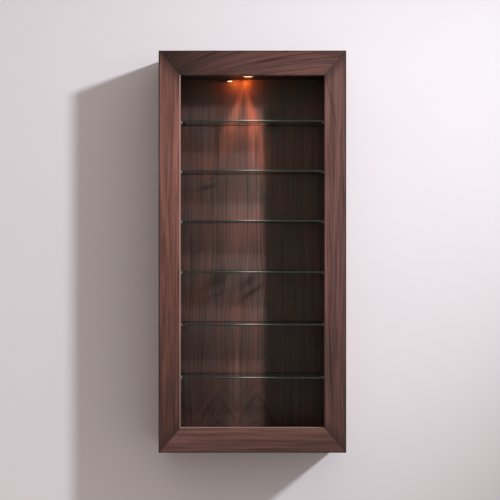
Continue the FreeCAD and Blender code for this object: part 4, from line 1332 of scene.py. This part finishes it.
@dataclass
class HangingRails:
    """The cabinet's bevelled rail and the one on the wall."""

    dark: Colour = (0.26, 0.16, 0.085)
    light: Colour = (0.44, 0.3, 0.17)

    def build(self) -> None:
        """Dresses both rails and the dowels."""
        rail = PaleTimber("hardwood_rail", Grain.ACROSS, self.dark, self.light)
        dress(rail.material(), "cabinet_cleat", "wall_cleat")
        dress(PaleTimber("beech_cleat_dowel", Grain.ACROSS).material(), "cleat_dowels")


@dataclass
class Studio:
    """The wall, the floor, the light and the camera."""

    camera_at: Point = (-0.0054, -2.86, -0.3313)
    lens: float = 87.6
    sensor: float = 36.0
    key_at: Point = (2.5, -1.904, 1.1)
    key_aim: Point = (-0.4, 0.0, -0.38)
    key_radius: float = 0.14
    key_watts: float = 437.0
    key_degrees: float = 43.0
    key_colour: Colour = (0.94, 1.0, 1.06)
    ambient: float = 0.41
    ambient_colour: Colour = (1.088, 0.982, 0.93)
    ambient_lean: Point = (0.65, 0.0, 0.85)
    ground: Colour = (0.8, 0.8, 0.8)
    wall_colour: Colour = (0.86, 0.82, 0.84)
    wall_clouds: float = 3.0
    cloud_tone: float = 0.985
    wall_roughness: float = 0.95
    floor_drop: float = 0.9
    reach: float = 4.0
    wall_gap: float = 0.0005

    def build(self) -> None:
        """Makes the whole studio."""
        bpy.context.scene.view_settings.view_transform = "Standard"
        self.camera()
        self.key()
        self.world()
        back = HIGH.y + self.wall_gap
        floor = LOW.z - self.floor_drop
        wide = self.reach
        wall = [(-wide, floor), (wide, floor), (wide, wide), (-wide, wide)]
        self.sheet("studio_wall", [(x, back, z) for x, z in wall])
        ground = [(-wide, -wide), (wide, -wide), (wide, back), (-wide, back)]
        self.sheet("studio_floor", [(x, y, floor) for x, y in ground])

    def camera(self) -> None:
        """Puts the camera straight in front, at the photograph's height."""
        data = bpy.data.cameras.new("camera")
        data.lens = self.lens
        data.sensor_width = self.sensor
        camera = bpy.data.objects.new("camera", data)
        camera.location = self.camera_at
        camera.rotation_euler = (math.pi / 2, 0.0, 0.0)
        bpy.context.scene.collection.objects.link(camera)
        bpy.context.scene.camera = camera

    def key(self) -> None:
        """Adds the soft light from the front right."""
        data = bpy.data.lights.new("key", "SPOT")
        data.energy = self.key_watts
        data.color = self.key_colour
        data.spot_size = math.radians(self.key_degrees)
        data.spot_blend = 1.0
        data.shadow_soft_size = self.key_radius
        light = bpy.data.objects.new("key", data)
        light.location = self.key_at
        aim = Vector(self.key_aim) - Vector(self.key_at)
        light.rotation_euler = aim.to_track_quat("-Z", "Y").to_euler()
        bpy.context.scene.collection.objects.link(light)

    def world(self) -> None:
        """Gives an even fill, and a pale ground to what is seen or shows through glass."""
        world = bpy.data.worlds.new("world")
        bpy.context.scene.world = world
        world.use_nodes = True
        nodes = Nodes(world.node_tree)
        seen = nodes.rays("Camera", "Transmission")
        lean = [part * share for part, share in zip(nodes.split("Generated"), self.ambient_lean) if share]
        level = sum(lean, 1.0) * self.ambient
        fill = nodes.mix(1.0, self.ambient_colour, level, "MULTIPLY")
        ground = nodes.add("ShaderNodeBackground", None, {"Color": nodes.mix(seen, fill, self.ground)})
        nodes.add("ShaderNodeOutputWorld", None, {0: ground.outputs[0]})

    def plaster(self, name: str) -> bpy.types.Material:
        """A pale matt surface that is there for the eye, for mirrors and for glass, and clear from behind.

        Args:
            name: what the material is called.

        Returns:
            The finished material.
        """
        shader = Shader(name)
        cloud = shader.specks(self.wall_clouds).step(*SOFT)
        matt = shader.surface(
            Base_Color=shader.mix(cloud, dimmed(self.wall_colour, self.cloud_tone), self.wall_colour),
            Roughness=self.wall_roughness,
            Specular_IOR_Level=0.0,
        )
        clear = shader.add("ShaderNodeBsdfTransparent").outputs[0]
        behind = Value(shader, shader.add("ShaderNodeNewGeometry").outputs["Backfacing"])
        shown = shader.rays("Camera", "Glossy", "Transmission") * (1.0 - behind)
        return shader.close(shader.blend(shown, clear, matt))

    def sheet(self, name: str, corners: List[Point]) -> None:
        """Adds one flat stage surface.

        Args:
            name: what it is called.
            corners: its four corners, in order.
        """
        mesh = bpy.data.meshes.new(name)
        mesh.from_pydata(corners, [], [(0, 1, 2, 3)])
        mesh.materials.append(self.plaster(name + "_plaster"))
        piece = bpy.data.objects.new(name, mesh)
        bpy.context.scene.collection.objects.link(piece)


def main() -> None:
    """Builds every sub-assembly in order, then the studio."""
    logging.basicConfig(level=logging.INFO)
    assemblies = (FrontFrame(), OuterBox(), DisplaySpace(), Shelves(), Lamps(), Supply(), HangingRails())
    for assembly in assemblies:
        assembly.build()
    Studio().build()


if __name__ == "__main__":
    main()
